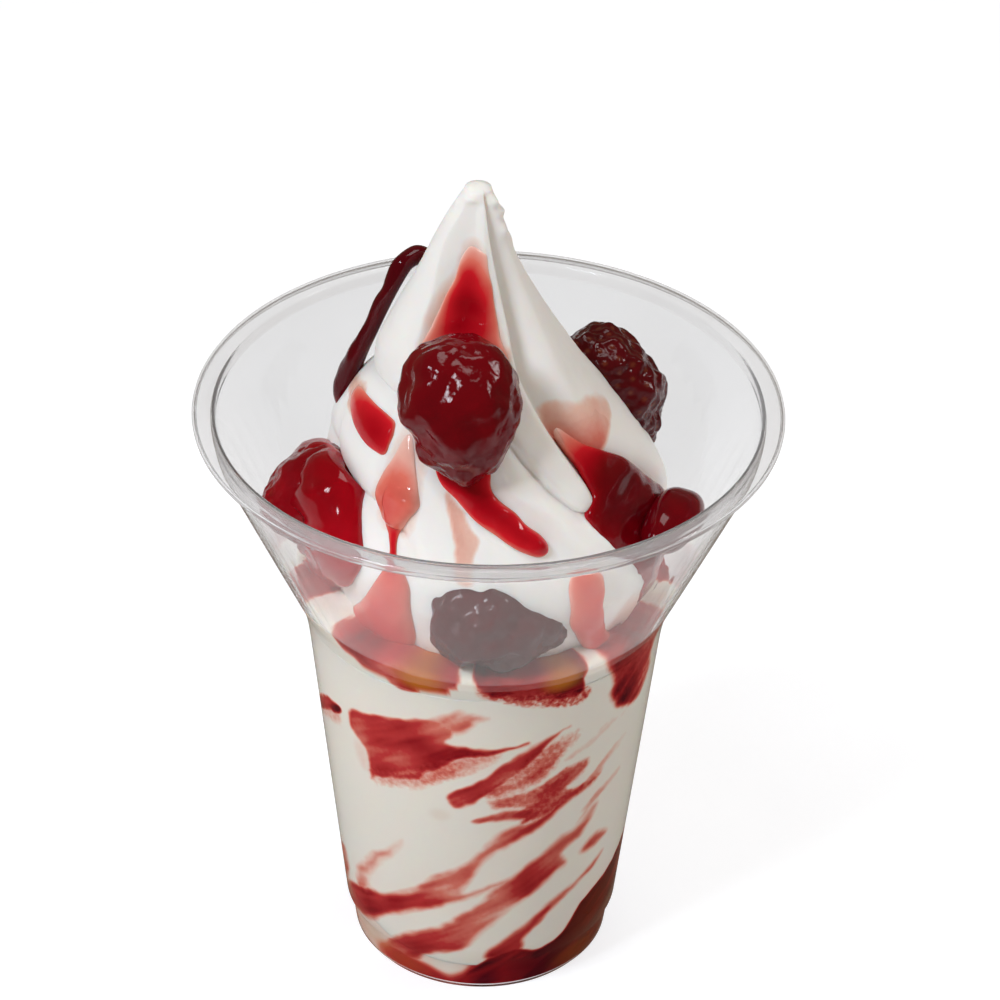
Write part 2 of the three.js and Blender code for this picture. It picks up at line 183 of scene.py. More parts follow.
def value_on_mesh(nodes, name):
    """The socket of a value that each vertex carries."""
    stored = nodes.new("ShaderNodeAttribute")
    stored.attribute_name = name
    return stored.outputs["Fac"]


paper, nodes, links, shader = new_finish("pale_paper")
mottle = noise_on_object(nodes, links, MOTTLE_SIZE)
links.new(ramp_of(nodes, links, mottle, PAPER_GREYS), shader.inputs["Base Color"])
shader.inputs["Roughness"].default_value = PAPER_ROUGHNESS
shader.inputs["Specular IOR Level"].default_value = 0.0
shader.inputs["Emission Color"].default_value = FLOOR_GLOW_COLOUR
shader.inputs["Emission Strength"].default_value = FLOOR_GLOW
bm = bmesh.new()
bmesh.ops.create_grid(bm, x_segments=FLOOR_CELLS, y_segments=FLOOR_CELLS, size=FLOOR_SIZE / 2)
floor_mesh = bpy.data.meshes.new("floor")
bm.to_mesh(floor_mesh)
bm.free()
floor_mesh.materials.append(paper)
floor = bpy.data.objects.new("floor", floor_mesh)
scene.collection.objects.link(floor)
floor.visible_glossy = False
print("floor:", FLOOR_SIZE, "m wide")

# %% [markdown]
# ## Curves, places and finished pieces
# Food has few straight lines, so most sizes here are rows of a smooth curve: a height and a radius, or a
# bearing and a depth. Bearings are degrees round the cup's axis, 0 at the front and 90 at the right. Rows
# are in millimetres, and places leave the helper in metres.

# %% Helpers for curves and places
MM = 0.001
SEED_SHIFT = Vector((7.1, 3.3, 5.7))


def curve_at(rows, at, column):
    """Reads a smooth curve through rows at values of their first column, level past both ends."""
    table = np.array(sorted(rows), dtype=float)
    x = table[:, 0]
    y = table[:, column]
    slope = np.diff(y) / np.diff(x)
    turning = slope[1:] * slope[:-1] <= 0
    total = np.where(turning, 1.0, slope[1:] + slope[:-1])
    inner = np.where(turning, 0.0, 2 * slope[1:] * slope[:-1] / total)
    tangent = np.concatenate([slope[:1], inner, slope[-1:]])
    at = np.clip(at, x[0], x[-1])
    i = np.clip(np.searchsorted(x, at) - 1, 0, len(x) - 2)
    step = x[i + 1] - x[i]
    t = (at - x[i]) / step
    bend = step * (t * (1 - t) ** 2 * tangent[i] - t * t * (1 - t) * tangent[i + 1])
    return y[i] + (y[i + 1] - y[i]) * t * t * (3 - 2 * t) + bend


def ease(low, high, at):
    """Goes smoothly from 0 at low to 1 at high."""
    t = np.clip((at - low) / (high - low), 0, 1)
    return t * t * (3 - 2 * t)


def turn_between(a, b):
    """The angle from b to a in degrees, from -180 to 180."""
    return np.mod(a - b + 180, 360) - 180


def polar(bearing, radius, height):
    """Places in metres, from bearings in degrees and radii and heights in millimetres."""
    turn = np.radians(bearing)
    return np.stack([radius * np.sin(turn), -radius * np.cos(turn), height + 0 * turn], axis=-1) * MM


def wobble(places, size, seed):
    """Smooth noise from -1 to 1 at places in metres, with lumps of about a size in millimetres."""
    shift = SEED_SHIFT * seed
    return np.array([noise.noise(Vector(place) / (size * MM) + shift) for place in places])


# %% [markdown]
# A bmesh is Blender's mesh for editing. These helpers read its vertices as bearings, radii and heights,
# move them all at once, and store values on them that a finish can read. Two more cut an outline into
# points and turn it about the cup's axis. The last one makes an object of a bmesh and lets it stand for a
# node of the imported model.

# %% Helpers for meshes
def spots(bm):
    """Bearing, radius and height of every vertex, in degrees and in the mesh's own units."""
    places = np.array([vert.co for vert in bm.verts])
    bearing = np.degrees(np.arctan2(places[:, 0], -places[:, 1]))
    return bearing, np.hypot(places[:, 0], places[:, 1]), places[:, 2]


def move(verts, places):
    """Puts vertices at places."""
    for vert, place in zip(verts, places):
        vert.co = place


def mark(bm, verts, name, values):
    """Stores a value on each vertex, for a finish to read."""
    layer = bm.verts.layers.float.get(name)
    if layer is None:
        layer = bm.verts.layers.float.new(name)
    for vert, value in zip(verts, values):
        vert[layer] = value


def cut_outline(corners, cuts):
    """Points along an outline of corners, each stretch cut into cuts + 1."""
    points = [np.array(corners[:1], dtype=float)]
    for start, end, count in zip(corners, corners[1:], cuts):
        share = np.linspace(0, 1, count + 2)[1:, None]
        points.append((1 - share) * np.array(start) + share * np.array(end))
    return np.concatenate(points)


def spun(outline, steps):
    """A full turn of an outline of radii and heights."""
    bm = bmesh.new()
    bmesh.ops.create_grid(bm, x_segments=steps, y_segments=len(outline) - 1, size=1.0)
    places = np.array([vert.co for vert in bm.verts])
    turn = places[:, 0] * math.pi
    row = np.rint((places[:, 1] + 1) / 2 * (len(outline) - 1)).astype(int)
    radius, height = outline[row].T
    move(bm.verts, np.stack([radius * np.sin(turn), -radius * np.cos(turn), height], axis=1))
    bmesh.ops.remove_doubles(bm, verts=bm.verts, dist=1e-7)
    return bm


def finish_piece(bm, name, finish, node):
    """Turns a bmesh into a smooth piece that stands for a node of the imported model."""
    bmesh.ops.recalc_face_normals(bm, faces=bm.faces)
    mesh = bpy.data.meshes.new(name)
    bm.to_mesh(mesh)
    bm.free()
    mesh.shade_smooth()
    mesh.materials.append(finish)
    piece = bpy.data.objects.new(name, mesh)
    scene.collection.objects.link(piece)
    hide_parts(node)
    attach(piece, "root")
    low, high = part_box(node)
    sizes = [round(size / MM, 1) for size in high - low]
    print(name, len(mesh.polygons), "faces, for a node", sizes, "mm")
    return piece


# %% [markdown]
# ## The cup
# The cup is formed from one thin sheet of clear plastic: a foot with a step, a straight body, a shoulder,
# a flare and a flat rolled lip. Such a sheet is one line turned about the axis. Blender's spin would do,
# but it is slow at hundreds of steps, so a flat grid is wrapped round the axis instead and its seam is
# merged. The line bends softly at the shoulder and under the lip, because a sharp corner in clear plastic
# works like a prism. A Solidify modifier then gives the sheet its thickness on both sides of the line.

# %% Cup outline
WALL = 0.7
RIM_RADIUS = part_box("cup")[1].x / MM
CURL_WIDE = 1.55
CURL_TALL = 0.75
CURL_HEIGHT = 106.9
CURL_END = math.radians(-35)
VEIL_LOW = 72.6
LIP_LOW = 105.4
PANEL = (17.4, 2.2)
FOOT_RING = ((18.6, WALL / 2), (21.0, WALL / 2))
# Radius and height of the wall's middle line: foot and step, shoulder, and top of the flare
FOOT_LINE = [(21.75, 1.3), (22.55, 7.0), (23.35, 8.0)]
SHOULDER = (30.2, 69.1)
FLARE_TOP = (45.45, 103.0)
# Reach of the soft bends at the shoulder and under the lip, below and above the corner
SHOULDER_REACH = (6.1, 3.7)
FLARE_REACH = (5.0, 3.2)
BEND_STEPS = 9
CURL_STEPS = 18
CUP_STEPS = 192
PANEL_CUTS = 4
FOOT_CUTS = 2
BODY_CUTS = 12
FLARE_CUTS = 24


def soft_corner(start, corner, end, reach):
    """Points of a soft bend in place of a corner between two straight stretches."""
    corner = np.array(corner)
    before = np.array(start) - corner
    after = np.array(end) - corner
    low = corner + reach[0] * before / np.linalg.norm(before)
    high = corner + reach[1] * after / np.linalg.norm(after)
    share = np.linspace(0, 1, BEND_STEPS)[:, None]
    bend = (1 - share) ** 2 * low + 2 * share * (1 - share) * corner + share**2 * high
    return [tuple(point) for point in bend]


WALL_LINE = [*FOOT_LINE, *soft_corner(FOOT_LINE[-1], SHOULDER, FLARE_TOP, SHOULDER_REACH), FLARE_TOP]


def wall_radius(height):
    """Radius of the middle of the cup's wall at a height."""
    return np.interp(height, [z for r, z in WALL_LINE], [r for r, z in WALL_LINE])


curl_centre = RIM_RADIUS - WALL / 2 - CURL_WIDE
curl_turns = np.linspace(math.pi, CURL_END, CURL_STEPS + 1)
lip = [
    (curl_centre + CURL_WIDE * math.cos(turn), CURL_HEIGHT + CURL_TALL * math.sin(turn))
    for turn in curl_turns
]
flare_bend = soft_corner(SHOULDER, FLARE_TOP, lip[0], FLARE_REACH)
corners = [(0.0, PANEL[1]), PANEL, *FOOT_RING, *WALL_LINE[:-1], *flare_bend, *lip]
cuts = [PANEL_CUTS, 0, 0, 0, FOOT_CUTS, 0, BODY_CUTS] + [0] * (BEND_STEPS - 1)
cuts += [FLARE_CUTS] + [0] * (BEND_STEPS - 1 + len(lip))
cup = spun(cut_outline(corners, cuts) * MM, CUP_STEPS)
print("cup outline:", len(corners), "corners, rim", round(2 * RIM_RADIUS, 1), "mm across")

# %% [markdown]
# The flare isn't perfectly smooth: faint upright flutes catch the light. They are waves of a few
# hundredths of a millimetre on the radius, strongest in the middle of the flare and gone at the shoulder
# and the lip.

# %% Flutes on the flare
FLUTES = 64
FLUTE_DEPTH = 0.035
FLUTE_START = 4
FADE_IN = 8
FADE_OUT = 10

bearing, radius, height = spots(cup)
flare_low = SHOULDER[1] + FLUTE_START
flare_high = FLARE_TOP[1]
share = ease(flare_low, flare_low + FADE_IN, height / MM)
share *= 1 - ease(flare_high - FADE_OUT, flare_high, height / MM)
fluted = radius / MM + FLUTE_DEPTH * share * np.cos(np.radians(bearing * FLUTES))
move(cup.verts, polar(bearing, fluted, height / MM))
print("flutes:", FLUTES)

# %% [markdown]
# Clear plastic bends and reflects light, and light must also fall through it onto the food. A glass-like
# shader would throw a full shadow, so lamps see a Transparent shader in its place, tinted by what the
# sheet takes away. Three finishes of this kind share the cup. The body lies against food and hardly
# reflects, the free flare reflects more and has a faint veil, and the rolled lip was drawn thicker and is
# a little milky. The tint goes from one at the back of the cup to one in front, by a value that each
# vertex carries. The darker back is painted shade: the plastic itself is the same all round.

# %% Clear plastic
LAMP_TINT = (0.98, 0.98, 0.98, 1.0)
TINT_SPAN = 0.6
# Name, tint at the back and in front, roughness, index of refraction, and clearness
SHEETS = [
    ("body_sheet", (0.7, 0.7, 0.7), (0.7, 0.7, 0.7), 0.02, 1.1, 1.0),
    ("flare_sheet", (0.75, 0.75, 0.75), (0.93, 0.925, 0.92), 0.02, 1.3, 0.95),
    ("lip_sheet", (0.74, 0.735, 0.73), (0.76, 0.75, 0.745), 0.06, 1.22, 0.86),
]


def see_through(name, back_tint, front_tint, roughness, bending, clearness):
    """A plastic that lets lamps shine through it, with a tint that changes from back to front as painted
    shade.
    """
    finish, nodes, links, shader = new_finish(name)
    tint = ramp_of(nodes, links, value_on_mesh(nodes, "front"), [(0.0, back_tint), (1.0, front_tint)])
    links.new(tint, shader.inputs["Base Color"])
    shader.inputs["Roughness"].default_value = roughness
    shader.inputs["IOR"].default_value = bending
    shader.inputs["Transmission Weight"].default_value = clearness
    lamp_ray = nodes.new("ShaderNodeLightPath")
    let_through = nodes.new("ShaderNodeBsdfTransparent")
    let_through.inputs["Color"].default_value = LAMP_TINT
    either = nodes.new("ShaderNodeMixShader")
    links.new(lamp_ray.outputs["Is Shadow Ray"], either.inputs["Fac"])
    links.new(shader.outputs["BSDF"], either.inputs[1])
    links.new(let_through.outputs["BSDF"], either.inputs[2])
    links.new(either.outputs["Shader"], nodes["Material Output"].inputs["Surface"])
    return finish


# The darker tint at the back of the cup is painted shade, set by each vertex's bearing.
mark(cup, cup.verts, "front", ease(-TINT_SPAN, TINT_SPAN, np.cos(np.radians(bearing))))
body_clear, flare_clear, lip_clear = [see_through(*row) for row in SHEETS]
cup_sheet = finish_piece(cup, "cup_sheet", body_clear, "cup")
sheet = cup_sheet.modifiers.new("sheet", "SOLIDIFY")
sheet.thickness = WALL * MM
sheet.offset = 0.0
sheet.use_even_offset = True
cup_sheet.data.materials.append(flare_clear)
cup_sheet.data.materials.append(lip_clear)
for face in cup_sheet.data.polygons:
    face.material_index = int(face.center.z > VEIL_LOW * MM) + int(face.center.z > LIP_LOW * MM)

# %% [markdown]
# ## The swirl's form
# Soft serve leaves a star nozzle as one thick rope, and the rope is laid round and round up to a tip.
# What shows is a cone whose outline swells and shrinks, grooves that the nozzle's points leave, and hems
# where one turn hangs over the next. All of that can be written as one radius for each bearing and
# height, which a spun mesh then takes on.

# %% Swirl outline and grooves
SWIRL_LOW = 66.0
SWIRL_FOOT = 70.2
TIP = 149.4
CROWN = 0.4
# Height and radius before the grooves, then height and sideways shift of the axis
SWELL = [
    (70, 25), (79, 28), (88, 29.9), (94, 28.6), (107, 22.9), (119, 16.4), (134.6, 8.3), (145, 4.1),
    (TIP, 2.1),
]
LEAN = [(80, 1.4), (88, 1.4), (100, 0), (115, -2.2), (128, -3), (138, -3.2), (TIP, -2.3)]
# Grooves as rows of height, bearing, half width and depth
FRONT_GROOVE = [
    (148, -5, 1.4, 0.4),
    (140, -14, 4.2, 1.6),
    (132, -12, 5.5, 2.6),
    (122, -10, 8.2, 4.0),
    (113, -14, 7.4, 3.8),
    (105.5, -3, 5.0, 2.3),
    (98, 18, 4.0, 2.1),
    (84, 40, 3.5, 0.6),
]
RIGHT_GROOVE = [
    (149, 32, 0.9, 0.6),
    (145.8, 37, 1.5, 1.5),
    (138, 42, 2.8, 2.8),
    (130, 40.5, 3.9, 4.0),
    (122, 37, 4.9, 5.0),
    (117, 39.5, 5.1, 5.2),
    (112, 43, 5.0, 5.0),
    (106, 46.5, 4.6, 4.2),
    (100, 50, 4.4, 2.8),
    (93, 57, 4.0, 0.5),
]
FIN = [
    (147, 18, 1.2, 0.2), (138, 27, 2.0, 0.5), (130, 27, 2.4, 0.7), (117, 29, 2.8, 0.8),
    (106, 38, 3.0, 0.7), (99, 42, 3.0, 0.2),
]
LOW_LEFT_GROOVE = [(114, -35, 2, 0.2), (102.4, -39, 4.5, 1.8), (95.6, -32, 4.5, 1.9), (80, -10, 3, 0.3)]
LOW_FRONT_GROOVE = [(106, -12, 2, 0.2), (99, -7.5, 3.4, 1.0), (80, 18, 3, 0.2)]
PLAIN_GROOVE = [
    (148, -8, 1, 0.3), (128, 0, 3.8, 1.8), (115, 4, 5, 2.3), (94, 24, 5, 2.2), (84, 40, 4, 0.8),
]
LOW_PLAIN_GROOVE = [(111, 8, 2, 0.2), (104, 12, 3.8, 1.4), (94, 24, 4.2, 1.8), (80, 46, 3, 0.3)]
CLIFF_LEFT = 0.34
CLIFF_RIGHT = 1.35
BACK_BEARINGS = (112, 168, -134)
LOW_BACK_BEARINGS = (-100, -154)
print("swirl:", TIP, "mm high, widest radius", max(row[1] for row in SWELL), "mm")

# %% [markdown]
# A groove is a cut into that radius, and its section has a form. The nozzle's points leave round hollows.
# Between two turns of the rope lies a fold, which is sharp at its line and round at its lips. A form needs
# only the distance from the groove's line, so it is a small function, and each side of a groove can have
# its own: the deep groove at the right is a steep cliff on one side and a fold on the other.

# %% Forms of the grooves
CREASE_SHARE = 0.55
VALLEY_SHARE = 0.45


def crease(reach):
    """Depth of a sharp crease between round lips, from 1 at its line to 0 at its reach."""
    return 1 - np.sqrt(1 - (1 - np.clip(reach, 0, 1)) ** 2)


def valley(reach):
    """Depth of an open valley, from 1 at its line to 0 at its reach."""
    return (1 - np.clip(reach, 0, 1) ** 2) ** 2


def hollow(reach):
    """Depth of a round hollow with crisp edges."""
    return 1 - np.clip(reach, 0, 1) ** 2


def fold(reach):
    """Depth of a fold, half crease and half valley."""
    return CREASE_SHARE * crease(reach) + VALLEY_SHARE * valley(reach)


def turned_groove(rows, bearing):
    """The same groove at another bearing."""
    return [(height, at + bearing, wide, deep) for height, at, wide, deep in rows]


# Each groove has its rows, the forms of its left and right sides, and how wide those sides are
GROOVES = [(FRONT_GROOVE, hollow, hollow, 1, 1), (RIGHT_GROOVE, hollow, fold, CLIFF_LEFT, CLIFF_RIGHT)]
for rows in (LOW_LEFT_GROOVE, LOW_FRONT_GROOVE):
    GROOVES.append((rows, fold, fold, 1, 1))
for bearing in BACK_BEARINGS:
    GROOVES.append((turned_groove(PLAIN_GROOVE, bearing), fold, fold, 1, 1))
for bearing in LOW_BACK_BEARINGS:
    GROOVES.append((turned_groove(LOW_PLAIN_GROOVE, bearing), fold, fold, 1, 1))
print("grooves:", len(GROOVES))

# %% [markdown]
# Where one turn of the rope lies on the next, its lower edge hangs over as a hem. A hem is a cut with a
# long reach below and a short one above, and the cream above it sags a little. Lobes and small nubs are
# bumps added at the end.

# %% Hems and lobes
# Hems as rows of bearing, height and depth, then the reach above and below and how far the lip sags
UPPER_LEFT_HEM = [
    (-178, 111, 0), (-140, 112.8, 2.2), (-100, 114.6, 4.2), (-62, 116.2, 4.2), (-40, 115.4, 3.0),
    (-20, 111, 0),
]
RIGHT_HEM = [
    (37, 111.7, 0), (60, 105, 3.2), (73, 100, 4.4), (83, 94, 4.8), (97, 87.5, 4.4), (130, 81, 2.5),
    (170, 77, 0),
]
LOWER_LEFT_HEM = [
    (-112, 99, 0), (-80, 100.6, 3.0), (-60, 99.8, 3.6), (-44, 99.4, 3.4), (-34, 97.6, 2.4), (-22, 93, 0),
]
TONGUE_HEM = [
    (4, 119, 0), (16, 112.6, 2.8), (24, 107.4, 3.6), (32, 102.6, 3.8), (40, 99.6, 3.4), (48, 101, 0),
]
HEMS = [
    (UPPER_LEFT_HEM, 5.0, 9.0, 1.8),
    (RIGHT_HEM, 5.5, 7.0, 2.0),
    (LOWER_LEFT_HEM, 5.0, 6.0, 1.4),
    (TONGUE_HEM, 3.0, 5.5, 1.4),
]
DEEP_HEM = 4.0
LIP_SKEW = 0.7
CUT_OVERLAP = 0.25
# Lobes that swell out, and small nubs where the rope was cut off: bearing, height, half widths and rise
LOBES = [
    (-124, 101, 11.0, 5.0, 2.6),
    (62, 147.6, 0.9, 0.9, 0.9),
    (84, 145.4, 1.1, 1.0, 0.8),
    (72, 142.4, 1.3, 1.2, 0.6),
    (96, 140.0, 1.2, 1.4, 0.4),
    (-34, 148.4, 1.2, 0.6, 0.5),
    (-74, 147.2, 1.1, 0.8, 0.35),
]
print("hems:", len(HEMS), "lobes and nubs:", len(LOBES))

# %% [markdown]
# The radius is worked out once on a fine grid of bearings and heights. A crease between two round lips
# would be a knife edge, which cream never keeps, so the grid is blurred by about a millimetre. Sauce that
# lies on the swirl reads the same grid, so it always touches the cream.

# %% Swirl grid
GRID_COLUMNS = 720
GRID_ROWS = 420
SLOPE_STEP = 0.5
SOFTEN_COLUMNS = 3
SOFTEN_ROWS = 2


def deeper(cut, other):
    """The deeper of two cuts, with a little of the other."""
    return np.maximum(cut, other) + CUT_OVERLAP * np.minimum(cut, other)


def groove_cut(rows, left, right, left_wide, right_wide, bearing, height, radius):
    """How deep a groove cuts at each point. Its sides are forms of the reach, each with its width."""
    turn = np.radians(curve_at(rows, height + SLOPE_STEP, 1) - curve_at(rows, height - SLOPE_STEP, 1))
    aside = np.radians(turn_between(bearing, curve_at(rows, height, 1))) * radius
    aside = aside / np.hypot(1, turn * radius)
    reach = np.abs(aside) / np.where(aside < 0, left_wide, right_wide) / curve_at(rows, height, 2)
    within = (height <= rows[0][0]) & (height >= rows[-1][0])
    return within * curve_at(rows, height, 3) * np.where(aside < 0, left(reach), right(reach))


def softened(grid):
    """A grid blurred round the cup and up its height."""
    for axis, cells, mode in ((1, SOFTEN_COLUMNS, "wrap"), (0, SOFTEN_ROWS, "edge")):
        reach = 3 * cells
        margin = [(0, 0), (0, 0)]
        margin[axis] = (reach, reach)
        weights = np.exp(-0.5 * (np.arange(-reach, reach + 1) / cells) ** 2)
        wide = np.pad(grid, margin, mode=mode)
        grid = np.apply_along_axis(np.convolve, axis, wide, weights / weights.sum(), "valid")
    return grid


grid_bearing, grid_height = np.meshgrid(
    np.linspace(-180, 180, GRID_COLUMNS, endpoint=False), np.linspace(SWIRL_LOW, TIP, GRID_ROWS)
)
swell = curve_at(SWELL, grid_height, 1)
cut = np.zeros_like(swell)
sag = np.zeros_like(swell)
for groove in GROOVES:
    cut = deeper(cut, groove_cut(*groove, grid_bearing, grid_height, swell))
cut -= groove_cut(FIN, valley, valley, 1, 1, grid_bearing, grid_height, swell)
for rows, above, below, lip_drop in HEMS:
    beside = (grid_bearing < rows[0][0]) | (grid_bearing > rows[-1][0])
    deep = np.where(beside, 0, curve_at(rows, grid_bearing, 2))
    over = grid_height - curve_at(rows, grid_bearing, 1)
    cut = deeper(cut, deep * crease(np.where(over > 0, over / above, -over / below)))
    sag += lip_drop * deep / DEEP_HEM * np.sin(np.pi * np.clip(over / above, 0, 1) ** LIP_SKEW)
swirl_grid = softened(swell - cut)
sag_grid = softened(sag)
for bearing, height, wide, tall, rise in LOBES:
    across = np.radians(turn_between(grid_bearing, bearing)) * swell / wide
    swirl_grid += rise * np.exp(-(across**2) - ((grid_height - height) / tall) ** 2)
print("swirl grid:", swirl_grid.shape, "deepest cut", round(float(cut.max()), 1), "mm")

# %% [markdown]
# A piece that lies on the swirl has to know where the cream's skin is and which way it faces. The skin's
# place is blended from the four nearest points of the grid. The way it faces follows from two short steps
# over the skin, one round the cup and one upwards.

# %% Reading the swirl grid
NORMAL_TURN = 1.5
NORMAL_RISE = 0.6


def grid_at(grid, bearing, height):
    """A grid's value at bearings and heights, blended between its points."""
    across = np.mod(bearing + 180, 360) / 360 * GRID_COLUMNS
    up = np.clip((height - SWIRL_LOW) / (TIP - SWIRL_LOW), 0, 1) * (GRID_ROWS - 1)
    i = np.minimum(up.astype(int), GRID_ROWS - 2)
    j = across.astype(int) % GRID_COLUMNS
    k = (j + 1) % GRID_COLUMNS
    s = across - np.floor(across)
    t = up - i
    low = grid[i, j] * (1 - s) + grid[i, k] * s
    high = grid[i + 1, j] * (1 - s) + grid[i + 1, k] * s
    return low * (1 - t) + high * t


def lean_at(height):
    """Sideways shift of the swirl's axis, in millimetres."""
    return ease(SWIRL_FOOT, LEAN[0][0], height) * curve_at(LEAN, height, 1)


def swirl_place(bearing, height, level=None):
    """Places on the swirl in metres, or at a level below its ungrooved outline."""
    if level is None:
        radius = grid_at(swirl_grid, bearing, height)
        drop = grid_at(sag_grid, bearing, height)
    else:
        radius = curve_at(SWELL, height, 1) - level
        drop = 0
    places = polar(bearing, radius, height - drop)
    places[..., 0] += lean_at(height) * MM
    return places


def swirl_normal(bearing, height, level=None):
    """Outward directions on the swirl."""
    right = swirl_place(bearing + NORMAL_TURN, height, level)
    right -= swirl_place(bearing - NORMAL_TURN, height, level)
    up = swirl_place(bearing, height + NORMAL_RISE, level)
    up -= swirl_place(bearing, height - NORMAL_RISE, level)
    normal = np.cross(right, up)
    return normal / np.linalg.norm(normal, axis=-1, keepdims=True)


# %% [markdown]
# ## The swirl
# The mesh starts as a plain spun tube with a pole at each end. Each of its vertices keeps its bearing and
# height and moves to the swirl's radius. A little noise gives the skin the low ripple of cold cream.

# %% Swirl mesh
SWIRL_STEPS = 376
SWIRL_CUTS = [3, 250, 1]
TUBE_RADIUS = 0.02
SMOOTH_TIP = 8
CAP = 1
RIPPLE = ((7.0, 0.16), (1.7, 0.05))

low = SWIRL_LOW * MM
high = TIP * MM
corners = [(0, low), (TUBE_RADIUS, low), (TUBE_RADIUS, high), (0, high)]
swirl = spun(cut_outline(corners, SWIRL_CUTS), SWIRL_STEPS)
bearing, radius, height = spots(swirl)
height = height / MM
swirl_spots = (bearing, radius, height)
share = np.clip(radius / TUBE_RADIUS, 0, 1)
ripple = np.zeros_like(share)
for seed, (size, depth) in enumerate(RIPPLE):
    ripple += depth * wobble(swirl_place(bearing, height), size, seed)
skin = grid_at(swirl_grid, bearing, height) + ripple * ease(TIP, TIP - SMOOTH_TIP, height)
crown = CROWN * (1 - share**2) * (height > TIP - CAP)
places = polar(bearing, skin * share, height - grid_at(sag_grid, bearing, height) + crown)
places[:, 0] += lean_at(height) * MM
move(swirl.verts, places)
print("swirl mesh:", len(swirl.verts), "vertices")

# %% [markdown]
# ## Marbled cream
# Soft serve is satin white with a warm cast. Light goes a little way into it, which a weak subsurface
# share gives. Where sauce was folded in, it turns pink, red and at last dark red. Each vertex carries how
# much sauce lies there, a ramp turns that into colour, and a fine noise breaks the edges up where a
# second value asks for grain. Cream that lies against the plastic has no gloss of its own, so the same
# finish is made twice. That copy is also darker and warmer, which in part paints the shade inside the cup.

# %% Cream finish
PIPED_CREAM = (0.885, 0.862, 0.825)
# The cream in the cup is darker and warmer than the piped cream: in part painted shade for the inside of
# the cup.
FILLED_CREAM = (0.85, 0.8, 0.705)
FIRST_TINGE = 0.03
SAUCE_STOPS = [
    (0.17, (0.82, 0.54, 0.44)),
    (0.34, (0.68, 0.18, 0.13)),
    (0.52, (0.49, 0.04, 0.038)),
    (0.74, (0.29, 0.011, 0.015)),
    (1.0, (0.09, 0.004, 0.009)),
]
AMBER = (0.54, 0.17, 0.02)
PIPED_GLOSS = 0.2
FILLED_GLOSS = 0.0
NOISE_MIDDLE = 0.5
GRAIN_SIZE = 0.0009
GRAIN_DETAIL = 4.0
GRAIN_DEPTH = 0.0001
GRAIN_STRENGTH = 0.25
DRY_ROUGHNESS = 0.5
WET_ROUGHNESS = 0.14
WET_GAIN = 3.0
SCATTER_SHARE = 0.4
SCATTER_RADIUS = (1.0, 0.55, 0.35)
SCATTER_DEPTH = 0.0025


def calculate(nodes, links, operation, first, second, third=None):
    """A Math node's result. Each input is a socket or a number."""
    node = nodes.new("ShaderNodeMath")
    node.operation = operation
    for socket, value in zip(node.inputs, (first, second, third)):
        if hasattr(value, "is_linked"):
            links.new(value, socket)
        elif value is not None:
            socket.default_value = value
    return node.outputs[0]


def blend_colours(nodes, links, share, first, second):
    """A mix of two colours by a share. Each colour is a socket or three numbers."""
    node = nodes.new("ShaderNodeMix")
    node.data_type = "RGBA"
    links.new(share, node.inputs[0])
    for socket, value in ((node.inputs[6], first), (node.inputs[7], second)):
        if hasattr(value, "is_linked"):
            links.new(value, socket)
        else:
            socket.default_value = (*value, 1.0)
    return node.outputs[2]


def bump_from(nodes, links, height, distance, strength, shader):
    """Fine relief on a shader from a height socket."""
    bump = nodes.new("ShaderNodeBump")
    bump.inputs["Distance"].default_value = distance
    bump.inputs["Strength"].default_value = strength
    links.new(height, bump.inputs["Height"])
    links.new(bump.outputs["Normal"], shader.inputs["Normal"])


def cream_finish(name, white, specular):
    """Cream that turns to sauce where its vertices carry some."""
    finish, nodes, links, shader = new_finish(name)
    sauce = value_on_mesh(nodes, "sauce")
    fine = noise_on_object(nodes, links, GRAIN_SIZE, GRAIN_DETAIL)
    grit = calculate(nodes, links, "SUBTRACT", fine, NOISE_MIDDLE)
    broken = calculate(nodes, links, "MULTIPLY_ADD", grit, value_on_mesh(nodes, "grain"), sauce)
    marbled = ramp_of(nodes, links, broken, [(FIRST_TINGE, white), *SAUCE_STOPS])
    # Amber is painted glow where light shines through thin sauce, and brown where the sauce is deep.
    colour = blend_colours(nodes, links, value_on_mesh(nodes, "amber"), marbled, AMBER)
    links.new(colour, shader.inputs["Base Color"])
    wet = nodes.new("ShaderNodeMapRange")
    wet.inputs["To Min"].default_value = DRY_ROUGHNESS
    wet.inputs["To Max"].default_value = WET_ROUGHNESS
    links.new(calculate(nodes, links, "MULTIPLY", sauce, WET_GAIN), wet.inputs["Value"])
    links.new(wet.outputs["Result"], shader.inputs["Roughness"])
    shader.inputs["Specular IOR Level"].default_value = specular
    shader.inputs["Subsurface Weight"].default_value = SCATTER_SHARE
    shader.inputs["Subsurface Radius"].default_value = SCATTER_RADIUS
    shader.inputs["Subsurface Scale"].default_value = SCATTER_DEPTH
    bump_from(nodes, links, fine, GRAIN_DEPTH, GRAIN_STRENGTH, shader)
    return finish


piped_cream = cream_finish("piped_cream", PIPED_CREAM, PIPED_GLOSS)
filled_cream = cream_finish("filled_cream", FILLED_CREAM, FILLED_GLOSS)
print("finishes:", piped_cream.name, filled_cream.name)

# %% [markdown]
# Thin sauce has no body of its own and only stains. A stain or a band is drawn as a closed outline, whose
# corners have a bearing, a height and an amount of sauce. The outline is rounded, a noise bends it a
# little, and streaks may fray it. A vertex inside it takes the amount that the nearest corners give.
# Distances are measured on the skin, laid flat.

# %% Painting sauce on a skin
BEND = ((6.0, 0.7), (1.8, 0.3))
CORNER_ROUNDS = 2
MARGIN_TURN = 10.0
MARGIN_RISE = 6.0
GRAIN_EDGE = 0.4


def rounded_outline(points):
    """A closed outline with its corners cut off a few times over."""
    for again in range(CORNER_ROUNDS):
        after = np.roll(points, -1, axis=0)
        early = 0.75 * points + 0.25 * after
        late = 0.25 * points + 0.75 * after
        points = np.stack([early, late], axis=1).reshape(-1, 2)
    return points


